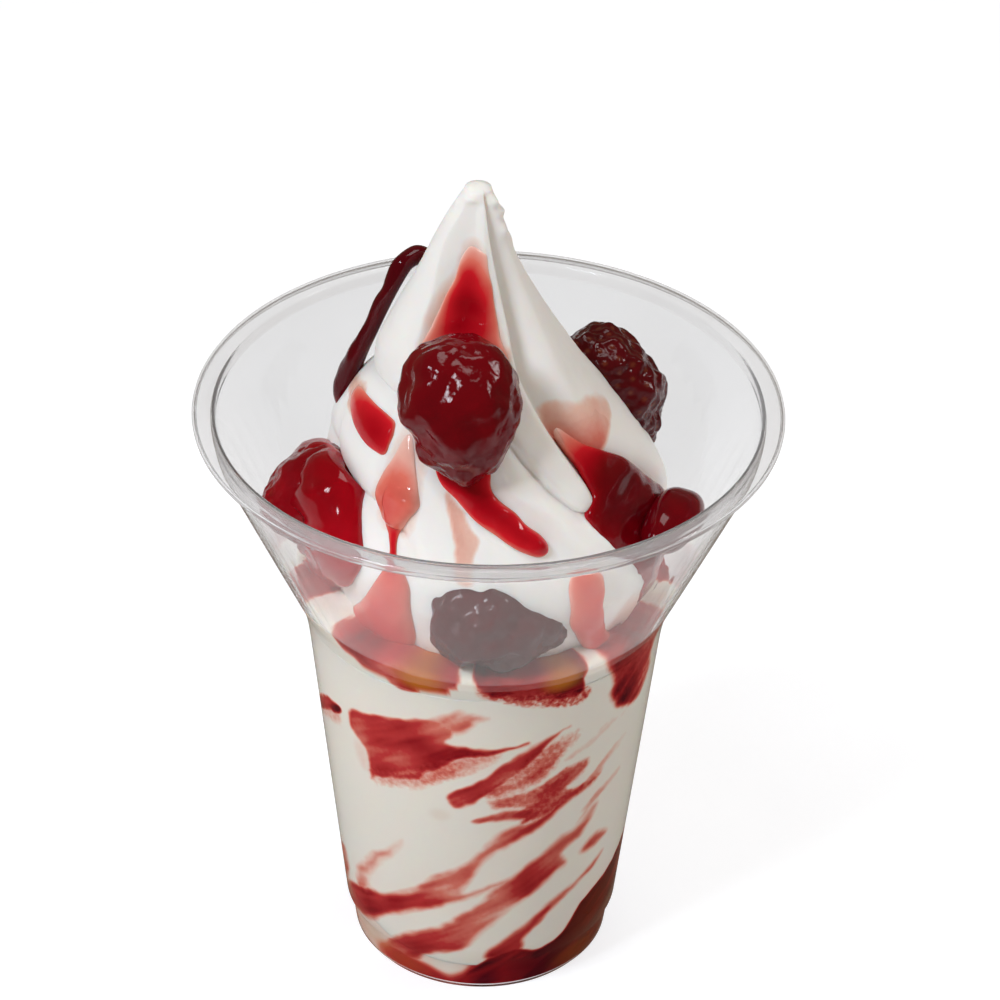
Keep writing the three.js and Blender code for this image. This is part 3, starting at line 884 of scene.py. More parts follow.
def depth_inside(outline, across, height):
    """Distance from each point to a closed outline, positive inside it."""
    inside = np.zeros(across.shape, dtype=bool)
    nearest = np.full(across.shape, 1e9)
    for (x0, z0), (x1, z1) in zip(outline, np.roll(outline, -1, axis=0)):
        long = (x1 - x0) ** 2 + (z1 - z0) ** 2 + 1e-12
        t = np.clip(((across - x0) * (x1 - x0) + (height - z0) * (z1 - z0)) / long, 0, 1)
        apart = np.hypot(across - x0 - t * (x1 - x0), height - z0 - t * (z1 - z0))
        nearest = np.minimum(nearest, apart)
        slant = (x1 - x0) / (z1 - z0 + 1e-12)
        inside ^= ((z0 > height) != (z1 > height)) & (across < x0 + slant * (height - z0))
    return np.where(inside, nearest, -nearest)


def painted(bearing, height, places, radius_at, patches, streaks):
    """Sauce and grain at each point, from patches of corners, softness, grain and fraying by streaks."""
    shift = np.zeros((2, len(bearing)))
    for seed, (size, reach) in enumerate(BEND):
        shift[0] += reach * wobble(places, size, 10 + seed)
        shift[1] += reach * wobble(places, size, 20 + seed)
    sauce = np.zeros(len(bearing))
    grain = np.zeros(len(bearing))
    for corners, soft, rough, fray in patches:
        table = np.array(corners, dtype=float)
        middle = (table[:, 0].min() + table[:, 0].max()) / 2
        turn = turn_between(bearing, middle)
        half = (table[:, 0].max() - table[:, 0].min()) / 2 + MARGIN_TURN
        near = np.abs(turn) < half
        near &= (height > table[:, 1].min() - MARGIN_RISE) & (height < table[:, 1].max() + MARGIN_RISE)
        level = height[near] + shift[1][near]
        across = np.radians(turn[near] + middle) * radius_at(height[near]) + shift[0][near]
        corner_across = np.radians(table[:, 0]) * radius_at(table[:, 1])
        outline = rounded_outline(np.stack([corner_across, table[:, 1]], axis=1))
        inside = depth_inside(outline, across, level) + fray * streaks[near]
        share = ease(-soft / 2, soft / 2, inside)
        ends = zip(corner_across, table[:, 1])
        weights = [1 / ((across - x) ** 2 + (level - z) ** 2 + 1) for x, z in ends]
        amount = sum(w * a for w, a in zip(weights, table[:, 2])) / sum(weights)
        sauce[near] = np.maximum(sauce[near], amount * share)
        grain[near] = np.maximum(grain[near], rough * ease(0.0, GRAIN_EDGE, share))
    return sauce, grain


# %% [markdown]
# On the swirl, thin sauce shows as pink halos round the thick runs and as faint stains in the folds. It
# has no thickness that could be seen, so it is painted on the cream's own vertices and gets no mesh of
# its own.

# %% Stains on the swirl
def swell_radius(height):
    """Radius of the swirl before its grooves."""
    return curve_at(SWELL, height, 1)


GROOVE_HALO = [
    (-18, 142, 0.12), (16, 142, 0.12), (25, 138.5, 0.1), (23, 133, 0.14), (24, 128, 0.2), (30, 123, 0.2),
    (-44, 122, 0.2), (-42, 128, 0.22), (-38, 133, 0.2), (-27, 137.5, 0.16),
]
MID_STAIN = [
    (-14, 105.6, 0.2), (-9, 103.5, 0.2), (-4.5, 100.6, 0.17), (-3, 98.5, 0.16), (-6.2, 95.6, 0.18),
    (-6, 91, 0.14), (-12, 91, 0.14), (-11.5, 96.5, 0.22), (-12.5, 99, 0.25), (-13.5, 102, 0.24),
]
FOLD_STAIN = [
    (-120, 103, 0.1), (-112, 107.6, 0.14), (-98, 111.2, 0.17), (-84, 112.6, 0.22), (-72, 112.8, 0.3),
    (-74, 108.8, 0.3), (-90, 109.2, 0.2), (-104, 107.4, 0.16), (-114, 103.4, 0.12),
]
RIGHT_STAIN = [
    (41, 114, 0.26), (46, 115.6, 0.1), (58, 115.4, 0.08), (70, 114, 0.15), (80, 111.9, 0.16),
    (87, 110, 0.1), (80, 108.6, 0.16), (70, 107.6, 0.24), (60, 107, 0.42), (50, 106, 0.5),
    (44, 108, 0.46),
]
TRICKLE_HALO = [
    (-40, 113.5, 0.1), (-28, 113, 0.1), (-23, 105, 0.12), (-26, 100, 0.12), (-32, 95, 0.14),
    (-40, 96.5, 0.12), (-47, 99, 0.1), (-48.5, 103, 0.1), (-42, 108, 0.1),
]
LOW_RIGHT_STAIN = [
    (42, 77, 0.14), (50, 83, 0.1), (64, 82, 0.16), (80, 76, 0.2), (84, 70, 0.2), (60, 68, 0.18),
    (44, 69, 0.2),
]
SWIRL_STAINS = [
    (GROOVE_HALO, 2.6, 0.0, 0),
    (MID_STAIN, 1.0, 0.05, 0),
    (FOLD_STAIN, 1.2, 0.05, 0),
    (RIGHT_STAIN, 1.4, 0.05, 0),
    (TRICKLE_HALO, 2.2, 0.05, 0),
    (LOW_RIGHT_STAIN, 4.0, 0.1, 0),
]
bearing, radius, height = swirl_spots
places = np.array([vert.co for vert in swirl.verts])
sauce, grain = painted(bearing, height, places, swell_radius, SWIRL_STAINS, np.zeros(len(places)))
mark(swirl, swirl.verts, "sauce", sauce)
mark(swirl, swirl.verts, "grain", grain)
finish_piece(swirl, "serve_swirl", piped_cream, "soft_serve")

# %% [markdown]
# ## Sauce in the foot and cream in the cup
# Sauce lies at the bottom of the cup, low in front and drawn up the wall at the sides. The cream above it
# fills the cup to its shoulder. Both touch the plastic. So each is a spun solid whose side reaches just
# into the wall: a gap there would show as a silvery skin of air.

# %% Levels in the cup
INTO_WALL = 0.1
STEP_SLANT = ((22.15, 4.0), (23.6, 10.0))
POOL_LOW = 6.0
POOL_HIGH = 15.4
POOL_MIDDLE = 9.0
POOL_LOW_BEARING = -8.0
POOL_SPREAD = 1.7
EDGE_ROUNDS = 4
FILL_TOP = 69.4
# Radius and height of the cup's floor
FLOOR_LINE = [(0.0, PANEL[1]), PANEL, *FOOT_RING, WALL_LINE[0]]


def food_radius(height):
    """Radius of food that reaches just into the wall and passes its step on a slant."""
    line = [FOOT_LINE[0], *STEP_SLANT, *WALL_LINE[len(FOOT_LINE):]]
    return np.interp(height, [z for r, z in line], [r for r, z in line]) - INTO_WALL


def pool_top(bearing, radius):
    """Height of the sauce's top in the foot."""
    away = np.clip(np.abs(turn_between(bearing, POOL_LOW_BEARING)) * POOL_SPREAD, 0, 180)
    edge = POOL_LOW + (POOL_HIGH - POOL_LOW) * (1 - np.cos(np.radians(away))) / 2
    return POOL_MIDDLE + (edge - POOL_MIDDLE) * (radius / food_radius(edge)) ** 2


def pool_edge(bearing):
    """Radius at which the sauce's top meets the wall."""
    radius = food_radius(POOL_LOW) + 0 * bearing
    for again in range(EDGE_ROUNDS):
        radius = food_radius(pool_top(bearing, radius))
    return radius


def filled(low_edge, low_cap, high_edge, high_cap, cuts, steps):
    """A spun solid between two caps, heights by bearing and radius, with its side in the wall."""
    bm = spun(cut_outline([(0, 0), (1, 0), (1, 1), (0, 1)], cuts), steps)
    bearing, share, up = spots(bm)
    low = low_edge(bearing)
    high = high_edge(bearing)
    height = low + (high - low) * up
    radius = food_radius(height) * share
    height = np.where(up < 1e-6, low_cap(bearing, radius), height)
    height = np.where(up > 1 - 1e-6, high_cap(bearing, radius), height)
    move(bm.verts, polar(bearing, radius, height))
    return bm, bearing, radius, height


print("sauce in the foot:", POOL_LOW, "to", POOL_HIGH, "mm high at the wall, cream up to", FILL_TOP, "mm")

# %% [markdown]
# The marbling follows the turn of the cup as it was filled: bands of sauce climb from the lower left to
# the upper right, with a broad patch under the shoulder and froth where air was beaten in. At the foot
# and the shoulder the same outlines run on over the pieces of sauce there, so no seam shows.

# %% Patch and wedge
# Bearing, height and amount of sauce at each corner
PATCH = [
    (-52.8, 54, 0.58), (-50, 58.8, 0.6), (-40, 59.9, 0.6), (-30, 61.3, 0.62), (-20, 63.3, 0.56),
    (-13, 64, 0.44), (-9, 61.4, 0.26), (-14, 59.4, 0.36), (-9, 58.4, 0.66), (0, 58.2, 0.8),
    (8, 57.9, 0.85), (15, 58.5, 0.8), (15, 58.3, 0.8), (4, 57, 0.8), (-4, 56.2, 0.74), (-9.5, 55.4, 0.7),
    (-10.5, 53.8, 0.68), (-14, 52.6, 0.7), (-20, 50.8, 0.72), (-23, 48.7, 0.64), (-30, 47.8, 0.62),
    (-37, 46.2, 0.56), (-42.5, 44.6, 0.44), (-42.8, 44.8, 0.44), (-42.6, 49, 0.52), (-43.5, 51.2, 0.52),
    (-48, 52.2, 0.5),
]
PATCH_TAIL = [
    (-20, 62.4, 0.5), (-14, 64.5, 0.5), (-9, 65.6, 0.36), (-6, 66.6, 0.15), (-1, 65.8, 0.14),
    (2, 64.8, 0.16), (-3, 64.2, 0.42), (-4, 62.8, 0.46), (-8, 61.6, 0.42), (-14, 61.8, 0.46),
]
# A painted shadow beside the patch, stored as a faint amount of sauce.
PATCH_SHADOW = [(-52, 52.5, 0.1), (-43, 51.5, 0.16), (-43, 45.5, 0.14), (-50, 46, 0.06)]
PATCH_FROTH = [
    (-44, 46.4, 0.16), (-34, 49, 0.28), (-24, 51, 0.32), (-14, 54, 0.34), (-8, 56.6, 0.34),
    (2, 57.4, 0.34), (8, 56.6, 0.16), (3, 54.6, 0.2), (-6, 52.4, 0.24), (-14, 50, 0.24),
    (-22, 47.2, 0.22), (-32, 45.6, 0.18), (-42, 43.6, 0.1),
]
WEDGE = [
    (30, 60.8, 0.7), (29.6, 60.7, 0.7), (20, 59, 0.62), (10, 55.5, 0.46), (5.2, 53.9, 0.56),
    (0, 51.4, 0.58), (-5.2, 49.2, 0.6), (-9.4, 48, 0.56), (-11, 46.4, 0.56), (-10.4, 44.5, 0.55),
    (-7, 44, 0.56), (-4, 45.4, 0.6), (0, 47.2, 0.56), (5.2, 49.3, 0.62), (10, 51.6, 0.66),
    (14.8, 53.8, 0.7), (20, 57, 0.74), (25.5, 59.2, 0.74),
]
WEDGE_FROTH = [
    (0, 48.4, 0.46), (8, 51, 0.48), (16, 55, 0.44), (22, 58, 0.34), (28, 58.6, 0.2), (35, 59.6, 0.1),
    (29, 55.5, 0.24), (26, 51.5, 0.36), (20, 50, 0.42), (10, 48, 0.44), (3, 46.2, 0.38),
]
CRUMBLED = [
    (0, 46, 0.32), (8, 47.2, 0.42), (16, 47.4, 0.46), (24, 48.8, 0.46), (31, 50.6, 0.46),
    (39, 51.6, 0.44), (40.5, 49.8, 0.4), (36, 47.4, 0.42), (31, 45.4, 0.46), (38, 44.9, 0.42),
    (47, 46.4, 0.3), (47, 46, 0.3), (40, 43.9, 0.42), (30, 42.6, 0.52), (22, 41.2, 0.54), (13, 40.2, 0.5),
    (18, 43, 0.56), (9, 45, 0.42), (3, 45, 0.34),
]
STROKE = [
    (-3.4, 41.4, 0.45), (-3, 41.6, 0.45), (2, 42.8, 0.55), (8, 43.6, 0.6), (14, 43.9, 0.6),
    (21, 43.4, 0.6), (22, 41.3, 0.6), (12, 41.7, 0.6), (4, 41.5, 0.55),
]
print("corners of the patch:", len(PATCH), "and of the wedge:", len(WEDGE))

# %% [markdown]
# Below the patch, three bands climb across the wall. They are broad where the sauce came in and fray out
# as the cup was turned. A short dash and a wisp are what was left behind.

# %% Bands
LONG_BAND = [
    (-90, 7, 0.5), (-80, 10.2, 0.55), (-70, 12.8, 0.58), (-60, 14.7, 0.62), (-50, 16, 0.7),
    (-40, 18.5, 0.74), (-30, 21.4, 0.74), (-20, 25.2, 0.66), (-10, 30, 0.34), (0, 34.3, 0.32),
    (5, 37.2, 0.36), (10, 39.8, 0.42), (20, 40.8, 0.48), (30, 43.8, 0.48), (40, 45, 0.44),
    (47, 46.6, 0.3), (47, 46.2, 0.3), (40, 43.9, 0.44), (30, 41.9, 0.48), (20, 38.7, 0.46),
    (10, 35.3, 0.42), (5, 33.7, 0.36), (0, 31.1, 0.32), (-6, 26.2, 0.3), (-8, 23.8, 0.3), (2, 25.2, 0.4),
    (12, 27.3, 0.46), (12, 26.7, 0.46), (0, 24.3, 0.4), (-9, 22.6, 0.44), (-14, 21, 0.62),
    (-20, 19.3, 0.7), (-30, 17, 0.7), (-40, 13.8, 0.7), (-50, 10.4, 0.66), (-60, 8, 0.55), (-75, 6, 0.5),
    (-90, 2.5, 0.5),
]
LOW_BAND = [
    (-54, 2, 0.5), (-48, 4.6, 0.42), (-39.5, 8.1, 0.55), (-33, 10.4, 0.62), (-27, 12.4, 0.66),
    (-20, 14, 0.64), (-10, 17.2, 0.42), (0, 21.8, 0.34), (5.2, 25, 0.32), (10, 27, 0.38),
    (20, 30.8, 0.44), (26.2, 33.5, 0.44), (30, 35, 0.4), (35, 35.8, 0.36), (44, 39, 0.3), (50, 39.4, 0.2),
    (45, 36.6, 0.3), (40, 33.8, 0.36), (35, 32.4, 0.42), (31, 31, 0.5), (32, 29.6, 0.48), (35, 28, 0.54),
    (34.6, 27.6, 0.54), (29.5, 26.2, 0.58), (20, 22.7, 0.58), (10, 19.3, 0.48), (5.2, 17, 0.34),
    (0, 14.3, 0.34), (-5.2, 10.8, 0.46), (-10, 9, 0.56), (-20, 8.2, 0.64), (-28, 5, 0.6), (-32, 2, 0.6),
]
THIN_BAND = [
    (1, 9.4, 0.55), (10, 13.4, 0.55), (20, 16.2, 0.5), (30, 19.7, 0.48), (40, 22.2, 0.46),
    (50, 24.4, 0.46), (57, 25.6, 0.3), (56, 24.8, 0.3), (50, 23.4, 0.46), (40, 21.1, 0.48),
    (30, 17.8, 0.5), (23, 14.6, 0.5), (18.6, 12.4, 0.52), (19.5, 10, 0.6), (14, 8, 0.66), (4, 7.4, 0.66),
]
DASH = [
    (39.6, 29.7, 0.36), (45, 31.5, 0.46), (50, 31.7, 0.46), (58, 29.9, 0.36), (52, 28.6, 0.44),
    (45, 28.2, 0.46),
]
WISP = [
    (-62, 14, 0.42), (-58.6, 19, 0.36), (-54, 22.4, 0.32), (-46, 26, 0.28), (-37, 30.8, 0.26),
    (-28.6, 34, 0.16), (-36, 28.6, 0.26), (-44, 25, 0.28), (-50.5, 20.8, 0.34), (-53, 15, 0.4),
]
print("corners of the bands:", [len(band) for band in (LONG_BAND, LOW_BAND, THIN_BAND)])

# %% [markdown]
# At the sides the cup shows other ends of the same sauce: a dark patch and a blob at the left, and pale
# threads at the right. Round the foot, the sauce that lies there reaches up the wall with a wavy edge.

# %% Sides and foot
SIDE_PATCH = [
    (-92, 46, 0.6), (-80, 51.4, 0.7), (-70, 54.6, 0.8), (-60, 56.7, 0.9), (-56.4, 56.4, 0.9),
    (-59, 54.4, 0.8), (-70, 51.4, 0.6), (-80, 48.6, 0.5), (-92, 43, 0.4),
]
SIDE_PATCH_FROTH = [
    (-82, 49.6, 0.12), (-70, 53, 0.2), (-58, 55.2, 0.22), (-57.5, 51.8, 0.1), (-70, 49.6, 0.14),
    (-82, 46.6, 0.1),
]
SIDE_BLOB = [
    (-98, 12, 0.6), (-86, 16.8, 0.5), (-78, 19.4, 0.44), (-71, 19.8, 0.24), (-68, 17, 0.22),
    (-74, 12, 0.46), (-90, 8, 0.6),
]
RIGHT_THREADS = [
    [
        (36, 37.6, 0.2), (46, 41.6, 0.2), (58, 44.6, 0.1), (58, 43.4, 0.1), (46, 40.2, 0.2),
        (36, 36.4, 0.2),
    ],
    [
        (40, 45.6, 0.3), (48, 49.4, 0.18), (60, 52.6, 0.08), (60, 51.2, 0.08), (48, 47.4, 0.18),
        (42, 44.4, 0.3),
    ],
    [
        (30, 53.6, 0.14), (42, 56.4, 0.12), (56, 58, 0.06), (56, 56.4, 0.06), (42, 54.6, 0.12),
        (30, 51.6, 0.14),
    ],
]
FOOT_RIGHT = [
    (-9, 2, 0.7), (-5, 4.2, 0.74), (0, 6.4, 0.74), (5, 8, 0.76), (10, 9.4, 0.84), (17, 10, 0.8),
    (20, 9.4, 0.84), (26, 8.4, 0.9), (32, 9.2, 0.95), (38, 11.2, 1.0), (43, 14.4, 1.0), (50, 16.4, 1.0),
    (60, 18.8, 0.95), (70, 21, 0.85), (80, 23, 0.85), (96, 20, 0.9), (96, 0, 1.0), (30, 0, 0.96),
    (10, 0, 0.78), (-9, 0, 0.73),
]
FOOT_BACK = [
    (84, 21.5, 0.85), (96, 19.4, 0.88), (108, 17.2, 0.9), (120, 19.2, 0.86), (132, 16.6, 0.9),
    (146, 18.6, 0.86), (158, 16.2, 0.9), (172, 18, 0.86), (186, 16.2, 0.9), (200, 18.4, 0.84),
    (214, 16.2, 0.84), (228, 17.2, 0.8), (242, 14.6, 0.72), (254, 13, 0.64), (264, 9, 0.56),
    (266, 0, 0.6), (84, 0, 1.0),
]
print("threads at the right:", len(RIGHT_THREADS))

# %% [markdown]
# From the shoulder, broad tongues of sauce hang down between the cream and the plastic. Their outlines
# start above the top of the ring of sauce, so they colour the ring and the cream below it alike. The
# middle tongue is dark sauce and also the painted shadow of the low berry above it.

# %% Tongues at the shoulder
LEFT_SHOULDER = [
    (-52, 84, 0.58), (-48, 75.2, 0.58), (-42, 72.4, 0.62), (-33, 71.2, 0.6), (-29, 69.9, 0.6),
    (-24, 69.1, 0.6), (-20, 69.8, 0.62), (-13, 70.7, 0.62), (-9, 72.2, 0.64), (-6.6, 75, 0.62),
    (-6, 84, 0.58),
]
# Dark sauce, with the painted shadow of the low berry above it.
MID_SHOULDER = [
    (-3.6, 84, 0.82), (-3.2, 75, 0.82), (0, 71.8, 0.8), (5, 70, 0.76), (12, 69.2, 0.76), (20, 68.4, 0.76),
    (27, 67.4, 0.76), (32.5, 67.4, 0.76), (32.6, 69.5, 0.76), (31.4, 72, 0.82), (31.4, 84, 0.72),
]
MID_SHOULDER_FROTH = [
    (-3, 73.6, 0.5), (4, 71.4, 0.55), (14, 70.2, 0.55), (25, 69, 0.55), (34, 68.6, 0.5),
    (36.4, 66.8, 0.36), (33, 65.2, 0.28), (26, 65.6, 0.3), (18, 67, 0.36), (8, 68.4, 0.36),
    (-1, 70.8, 0.36),
]
RIGHT_SHOULDER = [
    (36, 84, 0.74), (38, 74.4, 0.76), (43, 70.7, 0.7), (46.3, 66.6, 0.66), (46.3, 62.4, 0.76),
    (50, 59.9, 0.8), (56, 58.4, 0.76), (62, 57.8, 0.68), (68, 59.6, 0.6), (71, 62, 0.52),
    (68.4, 66, 0.54), (67.4, 72, 0.56), (72, 84, 0.6),
]
BACK_SHOULDERS = [
    [(84, 84, 0.7), (86, 71, 0.7), (98, 68, 0.75), (110, 69, 0.75), (121, 72, 0.7), (123, 84, 0.7)],
    [(150, 84, 0.7), (152, 72, 0.7), (166, 64, 0.75), (188, 66, 0.75), (200, 72, 0.7), (203, 84, 0.7)],
    [(-138, 84, 0.7), (-134, 73, 0.7), (-120, 67, 0.75), (-104, 69, 0.75), (-99, 84, 0.7)],
    [(-86, 84, 0.6), (-83, 73, 0.62), (-73, 71.6, 0.66), (-66, 74, 0.6), (-63, 84, 0.6)],
]
print("tongues at the back:", len(BACK_SHOULDERS))

# %% [markdown]
# Each outline also gets a softness, some grain for froth, and a share of fraying. The far side isn't
# pictured. It was filled in the same way, so the climbing patches are simply turned there.

# %% All patches on the wall
# Corners, softness of the edge, grain, and how far streaks fray the edge
CLIMBING_PATCHES = [
    (PATCH, 1.4, 0.1, 0.3),
    (PATCH_TAIL, 2.4, 0.1, 0.5),
    (PATCH_SHADOW, 3.0, 0.0, 0.0),
    (PATCH_FROTH, 2.4, 0.4, 0.6),
    (WEDGE, 1.2, 0.12, 0.3),
    (WEDGE_FROTH, 2.6, 0.44, 0.6),
    (CRUMBLED, 1.8, 0.4, 0.9),
    (STROKE, 1.4, 0.2, 0.5),
    (LONG_BAND, 2.2, 0.08, 0.4),
    (LOW_BAND, 2.2, 0.08, 0.4),
    (THIN_BAND, 2.0, 0.1, 0.4),
    (DASH, 2.4, 0.1, 0.4),
    (WISP, 2.6, 0.05, 0.5),
]
STILL_PATCHES = [
    (SIDE_PATCH, 1.2, 0.16, 0.3),
    (SIDE_PATCH_FROTH, 2.4, 0.2, 0.5),
    (SIDE_BLOB, 2.6, 0.05, 0.4),
    (FOOT_RIGHT, 1.0, 0.05, 0.0),
    (FOOT_BACK, 1.4, 0.05, 0.3),
    (LEFT_SHOULDER, 0.9, 0.2, 0.0),
    (MID_SHOULDER, 0.9, 0.3, 0.0),
    (MID_SHOULDER_FROTH, 1.4, 1.0, 0.0),
    (RIGHT_SHOULDER, 2.4, 0.3, 0.4),
]
THREAD_EDGE = (1.6, 0.15, 1.0)
BACK_EDGE = (1.4, 0.2, 0.3)
# The far side repeats the bands that climb round the cup, turned to these bearings
FAR_TURNS = (136, 216)

WALL_PATCHES = CLIMBING_PATCHES + STILL_PATCHES
for turn in FAR_TURNS:
    for corners, soft, rough, fray in CLIMBING_PATCHES:
        turned = [(bearing + turn, height, amount) for bearing, height, amount in corners]
        WALL_PATCHES.append((turned, soft, rough, fray))
WALL_PATCHES += [(corners, *THREAD_EDGE) for corners in RIGHT_THREADS]
WALL_PATCHES += [(corners, *BACK_EDGE) for corners in BACK_SHOULDERS]
print("patches of sauce on the wall:", len(WALL_PATCHES))

# %% [markdown]
# Sauce that was drawn out is streaky along its way. A noise that is stretched along the bands' slope
# lightens and darkens it, and so does a second, cloudy one. Where thin sauce lets light through, it glows
# amber, and that glow is painted into the colour: low at the left of the foot, and at two places of the
# shoulder. The deep sauce at the right of the foot takes only enough amber to look brown.

# %% Streaks and amber
STREAK_SLOPE = math.radians(34)
# Length and width of the streaks in millimetres, and their weight
STREAKS = ((13.0, 2.6, 0.65), (6.0, 1.0, 0.35))
STREAK_SHARE = 0.5
CLOUD_SIZE = 7.0
CLOUD_SHARE = 0.4
AMBER_EDGE = (0.3, 1.3)
# Bearing, height, half widths in degrees and millimetres, and share of amber
AMBER_SPOTS = [
    (-19.5, 73.4, 8.5, 3.6, 0.95),
    (24.5, 73.2, 7.0, 3.4, 0.9),
    (-58, 4.6, 18.0, 3.6, 0.36),
    (-36, 2.5, 14.0, 3.0, 0.16),
    (62, 8.0, 28.0, 14.0, 0.1),
    (52, 3.0, 18.0, 3.4, 0.2),
    (-84, 12.5, 12.0, 6.0, 0.3),
    (-15, 42.0, 4.5, 1.6, 0.12),
]


def streaks_at(bearing, height):
    """Noise from -1 to 1 that runs along the bands."""
    across = np.radians(bearing) * wall_radius(height)
    along = across * math.cos(STREAK_SLOPE) + height * math.sin(STREAK_SLOPE)
    aside = height * math.cos(STREAK_SLOPE) - across * math.sin(STREAK_SLOPE)
    streaks = np.zeros(len(bearing))
    for long, wide, weight in STREAKS:
        flat = zip(along / long, aside / wide)
        streaks += weight * np.array([noise.noise(Vector((float(u), float(v), 3.0))) for u, v in flat])
    return streaks


def amber_at(bearing, height):
    """Share of amber at each point: painted glow, and brown in the deep sauce."""
    amber = np.zeros(len(bearing))
    for at, level, wide, tall, share in AMBER_SPOTS:
        reach = np.hypot(turn_between(bearing, at) / wide, (height - level) / tall)
        amber = np.maximum(amber, share * (1 - ease(*AMBER_EDGE, reach)))
    return amber


def paint_wall(bm, bearing, radius, height, least):
    """Marks a piece that lies against the cup's wall with its sauce, grain and amber."""
    places = polar(bearing, radius, height)
    streaks = streaks_at(bearing, height)
    clouds = wobble(places, CLOUD_SIZE, 6)
    sauce, grain = painted(bearing, height, places, wall_radius, WALL_PATCHES, streaks)
    sauce = np.maximum(sauce * (1 + STREAK_SHARE * streaks + CLOUD_SHARE * clouds), least)
    mark(bm, bm.verts, "sauce", sauce)
    mark(bm, bm.verts, "grain", grain)
    mark(bm, bm.verts, "amber", amber_at(bearing, height))


print("sizes of streaks:", len(STREAKS), "and spots of amber:", len(AMBER_SPOTS))

# %% [markdown]
# The cream in the cup is seen through the wall alone. So its side is a fine mesh, which carries the
# marbling, and its caps have only a few rings. The lower cap follows the top of the sauce below it, so
# the two pieces meet without a gap.

# %% Cream in the cup
FILL_STEPS = 470
FILL_CUTS = [6, 188, 6]

fill, bearing, radius, height = filled(
    lambda turn: pool_top(turn, pool_edge(turn)),
    pool_top,
    lambda turn: FILL_TOP + 0 * turn,
    lambda turn, reach: FILL_TOP + 0 * turn,
    FILL_CUTS,
    FILL_STEPS,
)
paint_wall(fill, bearing, radius, height, 0.0)
finish_piece(fill, "serve_fill", filled_cream, "soft_serve")

# %% [markdown]
# The sauce in the foot is deep and dark at the right. At the left it is thin, with pale cream above it.
# So its amount is a curve over the bearing at the bottom and another one higher up. A third curve is the
# height at which the one gives way to the other, and noise makes that line uneven.

# %% Sauce in the foot
FOOT_STEPS = 300
FOOT_RINGS = [10, 30, 8]
# Bearing, then the amount of sauce at the bottom and higher up, and the height between them
FOOT_SAUCE = [
    (-180, 0.9, 0.9, 4), (-110, 0.7, 0.7, 4), (-85, 0.5, 0.4, 4), (-70, 0.16, 0.1, 4),
    (-58, 0.12, 0.06, 3.6), (-48, 0.5, 0.08, 4.4), (-40, 0.62, 0.1, 5), (-25, 0.64, 0.1, 3.6),
    (-14, 0.68, 0.06, 2.2), (-8, 0.74, 0.1, 3.2), (-1, 0.74, 0.5, 6), (4, 0.75, 0.75, 7),
    (30, 0.95, 0.95, 7), (180, 0.95, 0.95, 4),
]
FOOT_SOFTNESS = 1.3

foot, bearing, radius, height = filled(
    lambda turn: WALL_LINE[0][1] + 0 * turn,
    lambda turn, reach: np.interp(reach, [r for r, z in FLOOR_LINE], [z for r, z in FLOOR_LINE]),
    lambda turn: pool_top(turn, pool_edge(turn)),
    pool_top,
    FOOT_RINGS,
    FOOT_STEPS,
)
low_sauce = curve_at(FOOT_SAUCE, bearing, 1)
high_sauce = curve_at(FOOT_SAUCE, bearing, 2)
over = height - curve_at(FOOT_SAUCE, bearing, 3) - wobble(polar(bearing, radius, height), CLOUD_SIZE, 7)
share = ease(-FOOT_SOFTNESS, FOOT_SOFTNESS, over)
paint_wall(foot, bearing, radius, height, low_sauce + (high_sauce - low_sauce) * share)
finish_piece(foot, "foot_sauce", filled_cream, "base_sauce")

# %% [markdown]
# ## Sauce at the shoulder
# In the wedge between the swirl and the flare lies a ring of sauce. It is broken where cream is pressed
# against the plastic. Its section is a rounded block, so a circle is spun, and each vertex is pushed out
# to the block's sides.

# %% Ring of sauce
RING_BOTTOM = 67.4
RING_TOP = 75.4
RING_TILT = 1.5
RING_WAVE = 0.9
RING_WAVES = 3
RING_HIGH_BEARING = -60.0
RING_INNER = 22.0
RING_SKIN = 0.04
RING_SIDES = 36
RING_STEPS = 300
RING_SQUARENESS = 0.45
RING_CIRCLE = 0.3
# How high the bumps on its top are, their size, and the radius and height where they are read
RING_BUMP = 0.5
RING_BUMP_SIZE = 5.0
RING_MIDDLE = (30, 70)

ring = bmesh.new()
bmesh.ops.create_circle(ring, segments=RING_SIDES, radius=RING_CIRCLE)
upright = Matrix.Rotation(math.pi / 2, 3, "X")
bmesh.ops.rotate(ring, verts=ring.verts, cent=(0, 0, 0), matrix=upright)
bmesh.ops.translate(ring, verts=ring.verts, vec=(1, 0, 0))
outline = ring.verts[:] + ring.edges[:]
bmesh.ops.spin(
    ring, geom=outline, cent=(0, 0, 0), axis=(0, 0, 1), angle=math.tau, steps=RING_STEPS, use_merge=True
)
bearing, out, up = spots(ring)
out = (out - 1) / RING_CIRCLE
up = up / RING_CIRCLE
out = np.sign(out) * np.abs(out) ** RING_SQUARENESS
up = np.sign(up) * np.abs(up) ** RING_SQUARENESS
away = np.radians(turn_between(bearing, RING_HIGH_BEARING))
top = RING_TOP + RING_TILT * np.cos(away) + RING_WAVE * np.cos(RING_WAVES * away)
middle = polar(bearing, RING_MIDDLE[0] + 0 * bearing, RING_MIDDLE[1] + 0 * bearing)
top += RING_BUMP * wobble(middle, RING_BUMP_SIZE, 30)
height = RING_BOTTOM + (top - RING_BOTTOM) * (1 + up) / 2
radius = RING_INNER + (food_radius(height) - RING_SKIN - RING_INNER) * (1 + out) / 2
move(ring.verts, polar(bearing, radius, height))
paint_wall(ring, bearing, radius, height, 0.0)
finish_piece(ring, "shoulder_sauce", filled_cream, "sauce_ring")

